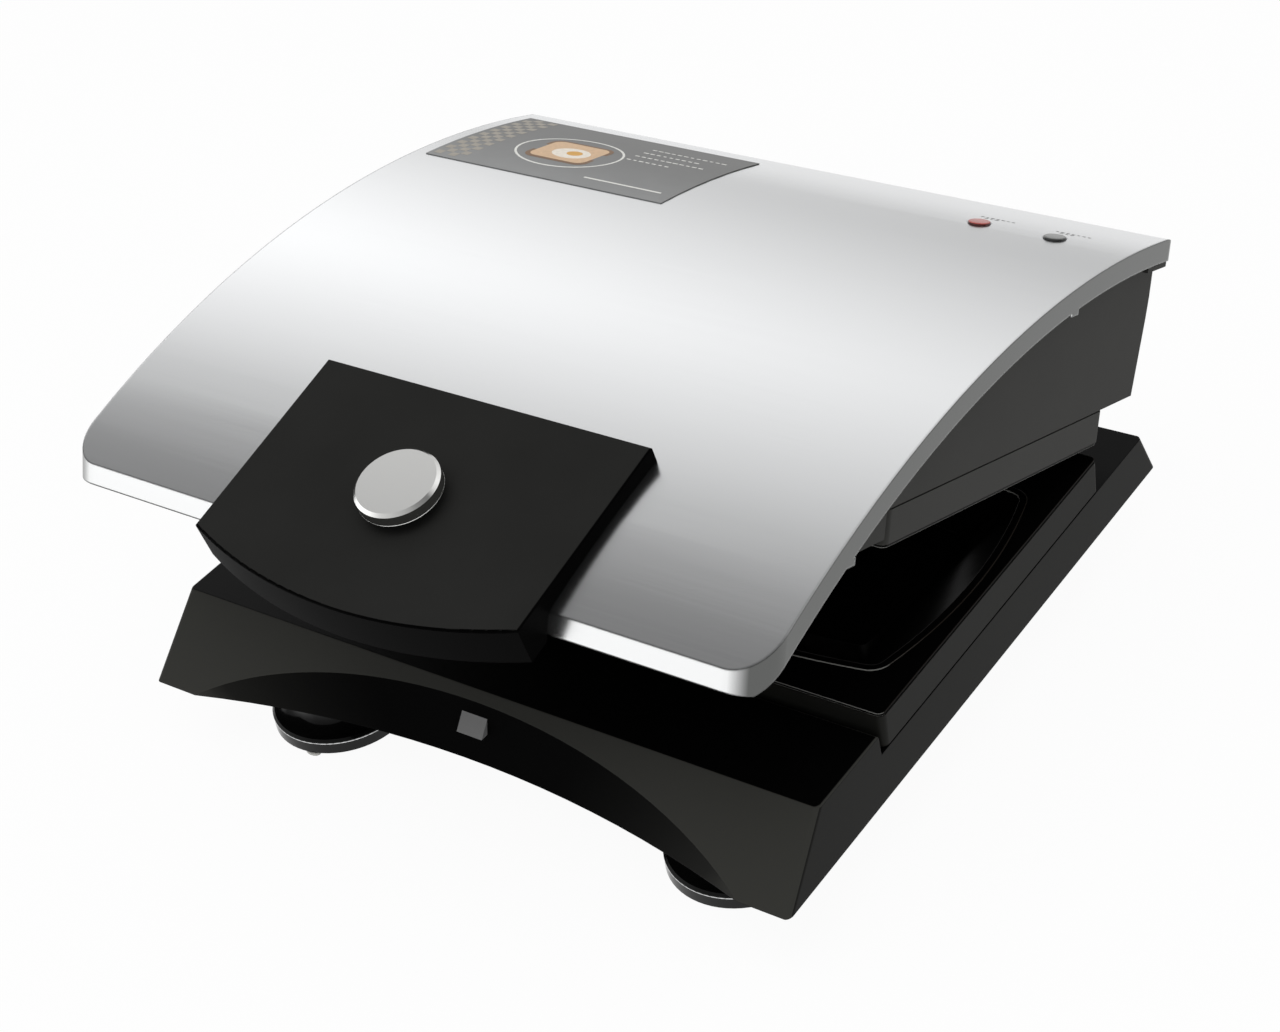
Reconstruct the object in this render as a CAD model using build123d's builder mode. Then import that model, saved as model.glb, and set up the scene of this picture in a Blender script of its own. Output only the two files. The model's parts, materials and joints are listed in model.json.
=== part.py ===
"""Breakfast sandwich maker: a hinged twin-pocket hot plate with a steel lid, a push latch and four tall feet.

Frame: +Z up, front towards -Y, right side towards +X. The origin is on the floor, midway between the feet.
The lid is modelled open by lid_open degrees. Its pieces are drawn in closed-lid coordinates, on planes that
already stand at that angle. Lengths are millimetres.
"""

import math
import os

from build123d import *

os.makedirs("parts", exist_ok=True)

# ---------------------------------------------------------------- widths, all stepped from the lid housing
housing_half_width = 125.0
tray_half_width = housing_half_width
base_top_half_width = housing_half_width - 0.5
base_half_width = base_top_half_width + 1.7
cover_half_width = housing_half_width + 5.4

# ---------------------------------------------------------------- heights and stack
foot_height = 26.0
pad_proud = 1.2
base_bottom = foot_height + pad_proud
front_block_height = 23.6
deck_height = 16.4
tray_seam = 0.6
tray_depth = 11.7
plate_flange = 1.0
plate_gap = 0.9
upper_tray_depth = 10.6
upper_seam = 0.5

# ---------------------------------------------------------------- base
base_half_depth = 122.2
front_edge_y = -98.6
front_block_rear_y = -64.1
rear_edge_y = 114.8
base_wall = 2.4
base_corner_radius = 2.0
base_edge_radius = 0.8
cover_thickness = 2.0
cover_play = 0.3
boss_radius = 4.0

# finger recess in the front slope, from its arc at the bottom edge to its arc at the top of the front block
recess_low_y = -106.9
recess_low_radius = 390.0
recess_high_y = -100.7
recess_high_radius = 498.0

# ---------------------------------------------------------------- feet
foot_x = base_half_width - 44.5
foot_y = 82.9
foot_rim_radius = 24.2
foot_rim_height = 5.4
foot_neck_radius = 15.5
foot_flare = 7.0
pad_radius = 20.5
pad_recess = 2.0
pad_hole_radius = 4.0

# ---------------------------------------------------------------- trays and cooking plates
tray_front_y = -61.8
tray_rear_y = 81.7
tray_corner_radius = 2.6
tray_wall = 2.4
plate_inset = 0.3
pocket_inner_x = 3.4
pocket_outer_x = tray_half_width - 6.4
pocket_front_y = -47.4
pocket_rear_y = 56.8
pocket_side_bow = 175.0
pocket_end_bow = 278.0
pocket_depth = 9.0
pocket_slope = 18.0
pocket_corner_radius = 5.0
pocket_floor_corner = 3.0
pocket_wall = 1.5
bead_width = 2.5
bead_height = 0.25
opening_half_width = tray_half_width - 13.0
opening_front_y = -46.0
opening_rear_y = 68.0
stud_x = 60.0
stud_front_y = -54.5
stud_rear_y = 75.6
stud_radius = 3.0

# ---------------------------------------------------------------- heating parts
rod_radius = 3.25
rod_x = 61.0
rod_front_y = -5.0
rod_rear_y = 60.0
rod_bend = 14.0
terminal_radius = 1.4
terminal_length = 5.0
pan_depth = 21.0
pan_sheet = 0.6
pan_play = 0.6
pan_lip = 4.0
clip_rear_y = 40.0
clip_front_y = 12.0
clip_width = 11.0
clip_length = 8.0

# ---------------------------------------------------------------- hinge
hinge_x = housing_half_width - 40.0
hinge_y = 92.93
hinge_z = 57.2
hinge_pin_radius = 2.5
hinge_play = 0.05
knuckle_radius = 6.0
knuckle_half_width = 6.4
ear_inner = 7.0
ear_thickness = 3.0
ear_radius = 6.5
hinge_plate = 3.0
lid_open = 20.5

# ---------------------------------------------------------------- lid cover and housing, closed-lid coordinates
cover_front_y = -134.0
cover_rear_y = 110.4
cover_front_rim_z = 34.3
cover_corner_radius = 12.0
cover_rear_corner_radius = 5.0
cover_roll = 7.0
sheet = 0.8
crown_y = 99.0
crown_z = -243.3
crown_radius = 367.7
rim_depth = 7.5
rim_tab_width = 4.5
rim_tab_drop = 1.5
rim_tabs_y = (-90.5, 37.6)
housing_front_y = -131.4
housing_corner_radius = 3.0
housing_wall = 2.4
band_depth = 5.0
nose_front_y = -94.0
nose_rear_y = -62.3
nose_bottom_z = 61.0
housing_rear_low_y = 103.6
housing_rear_high_y = 109.4
lip_z = 114.8
lip_thickness = 1.6
lip_front_y = 92.0
lip_inset = 0.6

# ---------------------------------------------------------------- latch panel and button
panel_top_y = -89.1
panel_top_z = 79.5
panel_tilt = 34.12
panel_top_half_width = 61.4
panel_low_half_width = 60.5
panel_side_length = 71.4
panel_front_radius = 158.6
panel_wall = 2.4
panel_skirt = 14.0
panel_edge_radius = 0.8
panel_screw_x = 46.0
panel_screw_high = -25.0
panel_screw_low = -45.0
button_v = -41.8
button_radius = 13.4
button_top = 8.9
button_thickness = 4.7
button_bevel = 0.6
stem_radius = 4.5
stem_bore = 3.0
stem_play = 0.08
stem_socket = 2.0
collar_radius = 7.5
collar_bottom = -4.4
fork_top = -6.4
fork_bottom = -8.4
fork_half_width = 6.8
fork_plate = 1.8
fork_gap = 0.5
button_pull = 1.5
button_push = 2.5

# ---------------------------------------------------------------- latch hook, closed-lid coordinates
hook_y = -111.5
hook_z = 47.0
hook_reach = 6.8
hook_half_width = 4.5
hook_boss_radius = 2.4
hook_boss_half_width = 7.0
hook_pin_radius = 1.5
hook_play = 0.05
hook_arm_half = 2.4
hook_arm_end = 8.0
fork_pin_radius = 0.9
slot_half = 1.35
claw_front_y = -112.8
claw_back_y = -109.6
claw_tip_y = -108.1
claw_top_z = 36.4
claw_bottom_z = 33.9
catch_half_width = 5.0
catch_front_y = -107.1
catch_bottom_rise = 10.9
catch_top_rise = 16.2
bracket_half_width = 16.0
bracket_thickness = 1.6
bracket_low = -50.0
bracket_split = -40.4
bracket_high = -24.0
window_half_width = 7.5
window_low = -47.4
window_high = -25.6

# ---------------------------------------------------------------- lamps, label and screws
lamp_y = 76.6
clear_lamp_x = cover_half_width - 27.7
red_lamp_x = clear_lamp_x - 27.5
lens_radius = 3.8
lens_proud = 1.4
lens_flange_radius = 5.2
lens_flange = 1.6
holder_top_z = 119.4
holder_bottom_z = 104.0
holder_low_x = red_lamp_x - 11.4
holder_high_x = clear_lamp_x + 11.1
holder_half_depth = 9.0
label_low_x = 5.5 - cover_half_width
label_high_x = -22.6
label_low_y = 33.7
label_high_y = 95.3
label_thickness = 0.25
label_lift = 0.05
lens_play = 0.05
lens_rounding = 0.6
neon_radius = 2.6
neon_length = 10.0
screw_radius = 1.5
screw_play = 0.15
screw_head_radius = 2.9
screw_head_height = 1.6
recess_width = 0.8
recess_length = 3.4
recess_cut = 0.9

# ---------------------------------------------------------------- derived heights
deck_z = base_bottom + deck_height
block_z = base_bottom + front_block_height
lower_tray_z = deck_z + tray_seam
lower_tray_top = lower_tray_z + tray_depth
lower_face_z = lower_tray_top + plate_flange
upper_face_z = lower_face_z + plate_gap
upper_tray_z = upper_face_z + plate_flange
upper_tray_top = upper_tray_z + upper_tray_depth
housing_z = upper_tray_top + upper_seam
sheet_inner_radius = crown_radius - sheet
band_radius = sheet_inner_radius - band_depth
lamp_crown_z = crown_z + math.sqrt(crown_radius**2 - (lamp_y - crown_y) ** 2)

# ---------------------------------------------------------------- planes of the open lid
open_angle = math.radians(lid_open)
cos_open = math.cos(open_angle)
sin_open = math.sin(open_angle)
panel_angle = math.radians(panel_tilt)
panel_rest = math.radians(panel_tilt - lid_open)


def turned(y, z):
    """Where the open lid holds a point of the closed lid's middle plane."""
    dy = y - hinge_y
    dz = z - hinge_z
    return (0, hinge_y + cos_open * dy + sin_open * dz, hinge_z - sin_open * dy + cos_open * dz)


def level(z):
    """The closed lid's horizontal plane at height z, seen from above."""
    return Plane(origin=turned(0, z), x_dir=(1, 0, 0), z_dir=(0, sin_open, cos_open))


def level_down(z):
    """The same plane facing down. Its X runs towards the left side."""
    return Plane(origin=turned(0, z), x_dir=(-1, 0, 0), z_dir=(0, -sin_open, -cos_open))


def floor_down(z):
    """A horizontal plane of the base facing down. Its X runs towards the left side."""
    return Plane(origin=(0, 0, z), x_dir=(-1, 0, 0), z_dir=(0, 0, -1))


lid_side = Plane(origin=turned(0, 0), x_dir=(0, cos_open, -sin_open), z_dir=(1, 0, 0))
panel_plane = Plane(
    origin=turned(panel_top_y, panel_top_z),
    x_dir=(1, 0, 0),
    z_dir=(0, -math.sin(panel_rest), math.cos(panel_rest)),
)
panel_side = Plane(
    origin=turned(panel_top_y, panel_top_z),
    x_dir=(0, math.cos(panel_rest), math.sin(panel_rest)),
    z_dir=(1, 0, 0),
)


def panel_down(w):
    """A plane parallel to the latch panel at height w, facing the lid. Its X runs towards the left side."""
    return Plane(origin=panel_plane.offset(w).origin, x_dir=(-1, 0, 0), z_dir=-panel_plane.z_dir)


def in_panel(y, z):
    """Closed-lid coordinates as distance up the panel and height above it."""
    dy = y - panel_top_y
    dz = z - panel_top_z
    up = dy * math.cos(panel_angle) + dz * math.sin(panel_angle)
    out = dz * math.cos(panel_angle) - dy * math.sin(panel_angle)
    return (up, out)


crown_in_panel = in_panel(crown_y, crown_z)
hook_in_panel = in_panel(hook_y, hook_z)


def crown_height(up, radius):
    """Height above the panel of a lid arc of that radius, at a distance up the panel."""
    return crown_in_panel[1] + math.sqrt(radius**2 - (up - crown_in_panel[0]) ** 2)


def centred(low_y, high_y):
    """The middle of a span along Y, as a sketch location."""
    return (0, (low_y + high_y) / 2)


def tray_outline(inset):
    """The trays' rounded plan, drawn in the active sketch."""
    with Locations(centred(tray_front_y, tray_rear_y)):
        RectangleRounded(
            2 * (tray_half_width - inset),
            tray_rear_y - tray_front_y - 2 * inset,
            tray_corner_radius - inset,
        )


def opening_outline(inset):
    """The opening under a cooking plate, drawn in the active sketch."""
    with Locations(centred(opening_front_y, opening_rear_y)):
        Rectangle(2 * (opening_half_width - inset), opening_rear_y - opening_front_y - 2 * inset)


def screw_set(seat, points, length):
    """Pan head screws with cross recesses. The heads stand on the seat plane and the shanks go behind it."""
    with BuildPart() as screws:
        with BuildSketch(seat):
            with Locations(*points):
                Circle(screw_head_radius)
        extrude(amount=screw_head_height)
        with BuildSketch(seat.offset(screw_head_height)):
            with Locations(*points):
                Rectangle(recess_length, recess_width)
                Rectangle(recess_width, recess_length)
        extrude(amount=-recess_cut, mode=Mode.SUBTRACT)
        with BuildSketch(seat):
            with Locations(*points):
                Circle(screw_radius)
        extrude(amount=-length)
    return screws.part


# ================================================================ base shell
rear_run = base_half_depth - rear_edge_y
front_run = base_half_depth + front_edge_y
cut_below = 2 * base_wall


def base_profile(drop):
    """Side view of the base. A drop carries its sloped ends on below the bottom edge."""
    Polygon(
        (-base_half_depth - drop * front_run / front_block_height, base_bottom - drop),
        (front_edge_y, block_z),
        (front_block_rear_y, block_z),
        (front_block_rear_y, deck_z),
        (rear_edge_y, deck_z),
        (base_half_depth + drop * rear_run / deck_height, base_bottom - drop),
        align=None,
    )


def base_front_view(inset, drop):
    """Front view of the base, narrower at the top."""
    flare = (base_half_width - base_top_half_width) / front_block_height
    low = base_half_width - inset + flare * drop
    high = base_top_half_width - inset
    Polygon(
        (-low, base_bottom - drop),
        (low, base_bottom - drop),
        (high, block_z),
        (-high, block_z),
        align=None,
    )


recess_low = base_bottom - cut_below
recess_high = block_z + cut_below


def recess_wall_y(z):
    """Y of the recess wall on the middle plane."""
    return recess_low_y + (z - base_bottom) / front_block_height * (recess_high_y - recess_low_y)


def recess_arc_radius(z):
    """Radius of the recess wall in the horizontal plane at height z."""
    return recess_low_radius + (z - base_bottom) / front_block_height * (recess_high_radius - recess_low_radius)


def recess_cone(extra):
    """The recess cutter, a leaning cone whose wall is moved back by an extra amount."""
    with BuildPart() as cone:
        for z in (recess_low, recess_high):
            with BuildSketch(Plane.XY.offset(z)):
                with Locations((0, recess_wall_y(z) - recess_arc_radius(z))):
                    Circle(recess_arc_radius(z) + extra)
        loft(ruled=True)
    return cone.part


with BuildPart() as base_cavity:
    with BuildSketch(Plane.YZ.offset(-base_half_width)):
        base_profile(cut_below)
        offset(amount=-base_wall, kind=Kind.INTERSECTION)
    extrude(amount=2 * base_half_width)
    with BuildSketch(Plane.XZ):
        base_front_view(base_wall, cut_below)
    extrude(amount=base_half_depth + cut_below, both=True, mode=Mode.INTERSECT)
    add(recess_cone(base_wall), mode=Mode.SUBTRACT)

foot_points = [(x, y) for x in (-foot_x, foot_x) for y in (-foot_y, foot_y)]
cover_screw_x = base_top_half_width - 6.5
cover_screw_points = [(-cover_screw_x, 0.0), (cover_screw_x, 0.0), (-30.0, 104.0), (30.0, 104.0)]
stud_points = [(x, y) for x in (-stud_x, stud_x) for y in (stud_front_y, stud_rear_y)]
bracket_screw_step = 13.5
bracket_screw_points = [
    (side * hinge_x + step, hinge_y + 1.0)
    for side in (-1, 1)
    for step in (-bracket_screw_step, bracket_screw_step)
]
cover_top = base_bottom + cover_thickness
inlet_x = 60.0
inlet_z = 35.5
inlet_radius = 4.4
catch_bottom = base_bottom + catch_bottom_rise
catch_top = base_bottom + catch_top_rise


with BuildPart() as base_shell:
    with BuildSketch(Plane.YZ.offset(-base_half_width)):
        base_profile(0)
    extrude(amount=2 * base_half_width)
    with BuildSketch(Plane.XZ):
        base_front_view(0, 0)
    extrude(amount=base_half_depth, both=True, mode=Mode.INTERSECT)
    corners = base_shell.edges().filter_by(
        lambda edge: abs(edge.center().Y) > abs(front_edge_y) + 1 and abs(edge.center().X) > base_top_half_width / 2
    )
    fillet(corners, radius=base_corner_radius)
    block_face = base_shell.faces().sort_by(Axis.Z)[-1]
    fillet(block_face.edges(), radius=base_edge_radius)
    add(recess_cone(0), mode=Mode.SUBTRACT)
    add(base_cavity.part, mode=Mode.SUBTRACT)
    # opening under the lower cooking plate
    with BuildSketch(Plane.XY.offset(deck_z)):
        opening_outline(0)
    extrude(amount=-cut_below, mode=Mode.SUBTRACT)
    # bosses for the feet, the bottom cover and the hinge brackets
    for x, y in foot_points + cover_screw_points + bracket_screw_points:
        ceiling = block_z if y < front_block_rear_y else deck_z
        with BuildSketch(Plane.XY.offset(cover_top)):
            with Locations((x, y)):
                Circle(boss_radius)
        extrude(amount=ceiling - cover_top - base_wall / 2)
    with BuildSketch(Plane.XY.offset(cover_top)):
        with Locations(*foot_points, *cover_screw_points):
            Circle(screw_radius)
    extrude(amount=deck_height - cover_thickness - base_wall, mode=Mode.SUBTRACT)
    with BuildSketch(Plane.XY.offset(deck_z)):
        with Locations(*bracket_screw_points):
            Circle(screw_radius)
    extrude(amount=-deck_height + cover_thickness + base_wall, mode=Mode.SUBTRACT)
    # holes for the plate screws, the catch and the cord inlet
    with BuildSketch(Plane.XY.offset(deck_z)):
        with Locations(*stud_points):
            Circle(screw_radius + screw_play)
    extrude(amount=-cut_below, mode=Mode.SUBTRACT)
    with BuildSketch(Plane.YZ.offset(-catch_half_width)):
        Polygon(
            (catch_front_y, catch_bottom),
            (recess_wall_y(catch_bottom) + cut_below, catch_bottom),
            (recess_wall_y(catch_top) + cut_below, catch_top),
            (catch_front_y, catch_top),
            align=None,
        )
    extrude(amount=2 * catch_half_width, mode=Mode.SUBTRACT)
    with BuildSketch(Plane.XZ.offset(-base_half_depth)):
        with Locations((inlet_x, inlet_z)):
            Circle(inlet_radius)
    extrude(amount=2 * base_half_depth - 2 * rear_edge_y + 4 * base_wall, mode=Mode.SUBTRACT)

# ================================================================ catch on the recess wall
catch_root = recess_wall_y(catch_bottom) + base_wall
with BuildPart() as latch_catch:
    with BuildSketch(Plane.YZ.offset(-catch_half_width)):
        Polygon(
            (catch_front_y, catch_bottom),
            (catch_root + base_wall, catch_bottom),
            (catch_root + base_wall, catch_top),
            (recess_wall_y(catch_top), catch_top),
            align=None,
        )
    extrude(amount=2 * catch_half_width)
    # back plate against the inner side of the wall
    with BuildSketch(Plane.YZ.offset(-2 * catch_half_width)):
        Polygon(
            (recess_wall_y(catch_bottom - base_wall), catch_bottom - base_wall),
            (catch_root + base_wall, catch_bottom - base_wall),
            (catch_root + base_wall, catch_top + base_wall),
            (recess_wall_y(catch_top + base_wall), catch_top + base_wall),
            align=None,
        )
    extrude(amount=4 * catch_half_width)
    add(base_shell.part, mode=Mode.SUBTRACT)
    # only the back plate and the tongue are kept, not the slivers in front of the wall
    with BuildSketch(Plane.YZ.offset(-3 * catch_half_width)):
        Polygon(
            (catch_front_y, catch_bottom),
            (catch_front_y, catch_top),
            (recess_wall_y(catch_top) + base_wall / 2, catch_top),
            (recess_wall_y(catch_top + base_wall) + base_wall / 2, catch_top + base_wall),
            (catch_root + base_wall, catch_top + base_wall),
            (catch_root + base_wall, catch_bottom - base_wall),
            (recess_wall_y(catch_bottom - base_wall) + base_wall / 2, catch_bottom - base_wall),
            (recess_wall_y(catch_bottom) + base_wall / 2, catch_bottom),
            align=None,
        )
    extrude(amount=6 * catch_half_width, mode=Mode.INTERSECT)

# ================================================================ bottom cover
cooling_slot_step = 12.0
cooling_slot_length = 40.0
cooling_slot_width = 3.0
with BuildPart() as bottom_cover:
    with BuildSketch(Plane.YZ.offset(-base_half_width)):
        base_profile(cut_below)
        offset(amount=-base_wall - cover_play, kind=Kind.INTERSECTION)
    extrude(amount=2 * base_half_width)
    with BuildSketch(Plane.XZ):
        base_front_view(base_wall + cover_play, cut_below)
    extrude(amount=base_half_depth + cut_below, both=True, mode=Mode.INTERSECT)
    add(recess_cone(base_wall + cover_play), mode=Mode.SUBTRACT)
    with BuildSketch(Plane.XY.offset(base_bottom)):
        Rectangle(2 * base_half_width, 2 * base_half_depth)
    extrude(amount=cover_thickness, mode=Mode.INTERSECT)
    with BuildSketch(Plane.XY.offset(base_bottom)):
        with Locations(*foot_points, *cover_screw_points):
            Circle(screw_radius + screw_play)
    extrude(amount=cover_thickness, mode=Mode.SUBTRACT)
    with BuildSketch(Plane.XY.offset(base_bottom)):
        with GridLocations(cooling_slot_step, 1.0, 9, 1):
            SlotOverall(cooling_slot_length, cooling_slot_width, rotation=90)
    extrude(amount=cover_thickness, mode=Mode.SUBTRACT)

bottom_cover_screws = screw_set(floor_down(base_bottom), cover_screw_points, cover_thickness + 8.0)

# ================================================================ feet
rim_top = pad_proud + foot_rim_height
flare_z = rim_top + foot_flare
head_room = 3.6
screw_bore = 4.0
foot_section = [
    (foot_neck_radius, base_bottom),
    (screw_radius + screw_play, base_bottom),
    (screw_radius + screw_play, base_bottom - screw_bore),
    (head_room, base_bottom - screw_bore),
    (head_room, pad_proud + pad_recess),
    (pad_radius + screw_play, pad_proud + pad_recess),
    (pad_radius + screw_play, pad_proud),
    (foot_rim_radius, pad_proud),
    (foot_rim_radius, rim_top - 0.8),
    (foot_rim_radius - 0.8, rim_top),
    (foot_neck_radius + foot_flare, rim_top),
]
with BuildPart() as foot:
    with BuildSketch(Plane.XZ):
        with BuildLine():
            Polyline(*foot_section)
            CenterArc((foot_neck_radius + foot_flare, flare_z), foot_flare, 180, 90)
            Line((foot_neck_radius, flare_z), (foot_neck_radius, base_bottom))
        make_face()
    revolve(axis=Axis.Z)

with BuildPart() as feet:
    with Locations(*foot_points):
        add(foot.part)

with BuildPart() as foot_pads:
    with BuildSketch(Plane.XY):
        with Locations(*foot_points):
            Circle(pad_radius)
            Circle(pad_hole_radius, mode=Mode.SUBTRACT)
    extrude(amount=pad_proud + pad_recess)

foot_screws = screw_set(floor_down(base_bottom - screw_bore), foot_points, screw_bore + cover_thickness + 8.0)

# ================================================================ trays
with BuildPart() as lower_tray:
    with BuildSketch(Plane.XY.offset(lower_tray_z)):
        tray_outline(0)
    extrude(amount=tray_depth)
    with BuildSketch(Plane.XY.offset(deck_z)):
        tray_outline(tray_seam * 2)
    extrude(amount=tray_seam)
    with BuildSketch(Plane.XY.offset(deck_z)):
        tray_outline(tray_wall)
    extrude(amount=tray_seam + tray_depth, mode=Mode.SUBTRACT)

with BuildPart() as upper_tray:
    with BuildSketch(level(upper_tray_z)):
        tray_outline(0)
    extrude(amount=upper_tray_depth)
    with BuildSketch(level(upper_tray_top)):
        tray_outline(tray_seam * 2)
    extrude(amount=upper_seam)
    with BuildSketch(level(upper_tray_z)):
        tray_outline(tray_wall)
    extrude(amount=upper_seam + upper_tray_depth, mode=Mode.SUBTRACT)

# ================================================================ cooking plates and their heating parts
lower_face = Plane.XY.offset(lower_face_z)
upper_face = level_down(upper_face_z)
lower_floor = lower_face_z - deck_z
upper_floor = housing_z - upper_face_z
pocket_x = (pocket_inner_x + pocket_outer_x) / 2
pocket_width = pocket_outer_x - pocket_inner_x
pocket_length = pocket_rear_y - pocket_front_y
rod_depth = pocket_depth + pocket_wall + rod_radius


def pocket_shape(grow, corner):
    """Plan of a pocket about its own middle, with four bowed sides moved out by an amount."""
    with BuildSketch() as shape:
        Rectangle(pocket_width + 2 * grow, pocket_length + 2 * grow)
        for side in (-1, 1):
            with Locations((side * (pocket_width / 2 - pocket_side_bow), 0)):
                Circle(pocket_side_bow + grow, mode=Mode.INTERSECT)
            with Locations((0, side * (pocket_length / 2 - pocket_end_bow))):
                Circle(pocket_end_bow + grow, mode=Mode.INTERSECT)
        fillet(shape.vertices(), radius=corner)
    return shape.sketch


pocket_mouth = pocket_shape(0, pocket_corner_radius)
pocket_ring = pocket_shape(bead_width, pocket_corner_radius + bead_width)
pocket_floor = pocket_shape(-pocket_slope, pocket_floor_corner)


def pocket_pair(shape):
    """Both pockets' plan, drawn in the active sketch."""
    for side in (-1, 1):
        with Locations((side * pocket_x, (pocket_front_y + pocket_rear_y) / 2)):
            add(shape)


def pocket_body(face, side, drop):
    """The tapered solid of one pocket, its mouth a drop below the cooking face."""
    middle = (side * pocket_x, (pocket_front_y + pocket_rear_y) / 2)
    with BuildPart() as body:
        with BuildSketch(face.offset(-drop)):
            with Locations(middle):
                add(pocket_mouth)
        with BuildSketch(face.offset(-drop - pocket_depth)):
            with Locations(middle):
                add(pocket_floor)
        loft(ruled=True)
    return body.part


def cooking_plate(face, floor_depth):
    """A plate with a flat flange, two tapered pockets, a raised bead round each and studs behind."""
    with BuildPart() as plate:
        with BuildSketch(face):
            tray_outline(plate_inset)
        extrude(amount=-plate_flange)
        with BuildSketch(face):
            pocket_pair(pocket_ring)
        extrude(amount=bead_height)
        with BuildSketch(face):
            pocket_pair(pocket_mouth)
        extrude(amount=-pocket_wall)
        add(pocket_body(face, -1, pocket_wall))
        add(pocket_body(face, 1, pocket_wall))
        with BuildSketch(face):
            pocket_pair(pocket_mouth)
        extrude(amount=bead_height, mode=Mode.SUBTRACT)
        add(pocket_body(face, -1, 0), mode=Mode.SUBTRACT)
        add(pocket_body(face, 1, 0), mode=Mode.SUBTRACT)
        with BuildSketch(face.offset(-plate_flange)):
            with Locations(*stud_points):
                Circle(stud_radius)
        extrude(amount=plate_flange - floor_depth)
        with BuildSketch(face.offset(-floor_depth)):
            with Locations(*stud_points):
                Circle(screw_radius)
        extrude(amount=stud_hole, mode=Mode.SUBTRACT)
    return plate.part


stud_hole = 9.0
lower_cooking_plate = cooking_plate(lower_face, lower_floor)
upper_cooking_plate = cooking_plate(upper_face, upper_floor)


def plate_screws(face, floor_depth, floor_thickness):
    """Screws through the floor behind a plate, into its studs."""
    seat = Plane(
        origin=face.offset(-floor_depth - floor_thickness).origin,
        x_dir=-face.x_dir,
        z_dir=-face.z_dir,
    )
    return screw_set(seat, stud_points, floor_thickness + stud_hole - 1.0)


lower_plate_screws = plate_screws(lower_face, lower_floor, base_wall)
upper_plate_screws = plate_screws(upper_face, upper_floor, housing_wall)


def heating_rod(face):
    """A tubular element bent to a U, with a terminal pin in each end."""
    path = FilletPolyline(
        (-rod_x, rod_rear_y, 0),
        (-rod_x, rod_front_y, 0),
        (rod_x, rod_front_y, 0),
        (rod_x, rod_rear_y, 0),
        radius=rod_bend,
    )
    section = Plane(origin=path @ 0, z_dir=path % 0) * Circle(rod_radius)
    rod = sweep(section, path=path)
    for side in (-1, 1):
        pin = Cylinder(terminal_radius, terminal_length, rotation=(90, 0, 0))
        rod += Pos(side * rod_x, rod_rear_y + terminal_length / 2, 0) * pin
    return face.offset(-rod_depth).location * rod


lower_rod = heating_rod(lower_face)
upper_rod = heating_rod(upper_face)

with BuildPart() as lower_heating_element:
    add(lower_rod)

with BuildPart() as upper_heating_element:
    add(upper_rod)


def heat_reflector(face, floor_depth):
    """A sheet pan behind a plate, hung by its lip on the floor's opening."""
    with BuildPart() as pan:
        with BuildSketch(face.offset(-floor_depth)):
            opening_outline(-pan_lip)
        extrude(amount=pan_sheet)
        with BuildSketch(face.offset(-floor_depth)):
            opening_outline(pan_play)
        extrude(amount=floor_depth - pan_depth)
        with BuildSketch(face.offset(pan_sheet - floor_depth)):
            opening_outline(pan_play + pan_sheet)
        extrude(amount=floor_depth - pan_depth, mode=Mode.SUBTRACT)
    return pan.part


lower_heat_reflector = heat_reflector(lower_face, lower_floor)
upper_heat_reflector = heat_reflector(upper_face, upper_floor)


def element_clips(face, rod):
    """Saddles that carry the element on the reflector pan."""
    with BuildPart() as clips:
        with BuildSketch(face.offset(pan_sheet - pan_depth)):
            for side in (-1, 1):
                with Locations((side * rod_x, clip_front_y), (side * rod_x, clip_rear_y)):
                    Rectangle(clip_width, clip_length)
        extrude(amount=pan_depth - pan_sheet - rod_depth)
        add(rod, mode=Mode.SUBTRACT)
    return clips.part


lower_element_clips = element_clips(lower_face, lower_rod)
upper_element_clips = element_clips(upper_face, upper_rod)

thermostat_radius = 7.0
thermostat_neck = 3.0
thermostat_neck_depth = 3.0
thermostat_body_depth = 6.0
thermostat_depth = 12.0
centre_y = (pocket_front_y + pocket_rear_y) / 2


def thermostat(face):
    """A disc thermostat under the web between the pockets."""
    with BuildPart() as body:
        with BuildSketch(face.offset(-plate_flange)):
            with Locations((0, centre_y)):
                Circle(thermostat_neck)
        extrude(amount=plate_flange - thermostat_body_depth)
        with BuildSketch(face.offset(-thermostat_body_depth)):
            with Locations((0, centre_y)):
                Circle(thermostat_radius)
        extrude(amount=thermostat_body_depth - thermostat_depth)
    return body.part


lower_thermostat = thermostat(lower_face)
upper_thermostat = thermostat(upper_face)

fuse_radius = 2.2
fuse_length = 16.0
fuse_y = 45.0


def thermal_fuse(face):
    """A thermal fuse in a holder with a flat foot, on the reflector pan."""
    with BuildPart(face.offset(pan_sheet - pan_depth + fuse_radius)) as fuse:
        with Locations((0, fuse_y)):
            Cylinder(fuse_radius, fuse_length, rotation=(0, 90, 0))
        with Locations((0, fuse_y, -fuse_radius / 2)):
            Box(fuse_length * 0.75, 2 * fuse_radius, fuse_radius)
    return fuse.part


lower_thermal_fuse = thermal_fuse(lower_face)
upper_thermal_fuse = thermal_fuse(upper_face)

# ================================================================ electrical parts in the base
terminal_size = (42.0, 14.0, 9.0)
terminal_y = 92.0
with BuildPart() as terminal_block:
    with BuildSketch(Plane.XY.offset(cover_top)):
        with Locations((0, terminal_y)):
            Rectangle(terminal_size[0], terminal_size[1])
    extrude(amount=terminal_size[2])
    with BuildSketch(Plane.XY.offset(cover_top + terminal_size[2])):
        with Locations((0, terminal_y)):
            with GridLocations(terminal_size[0] / 3, terminal_size[1] / 2, 3, 2):
                Circle(1.6)
    extrude(amount=-3.0, mode=Mode.SUBTRACT)

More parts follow.
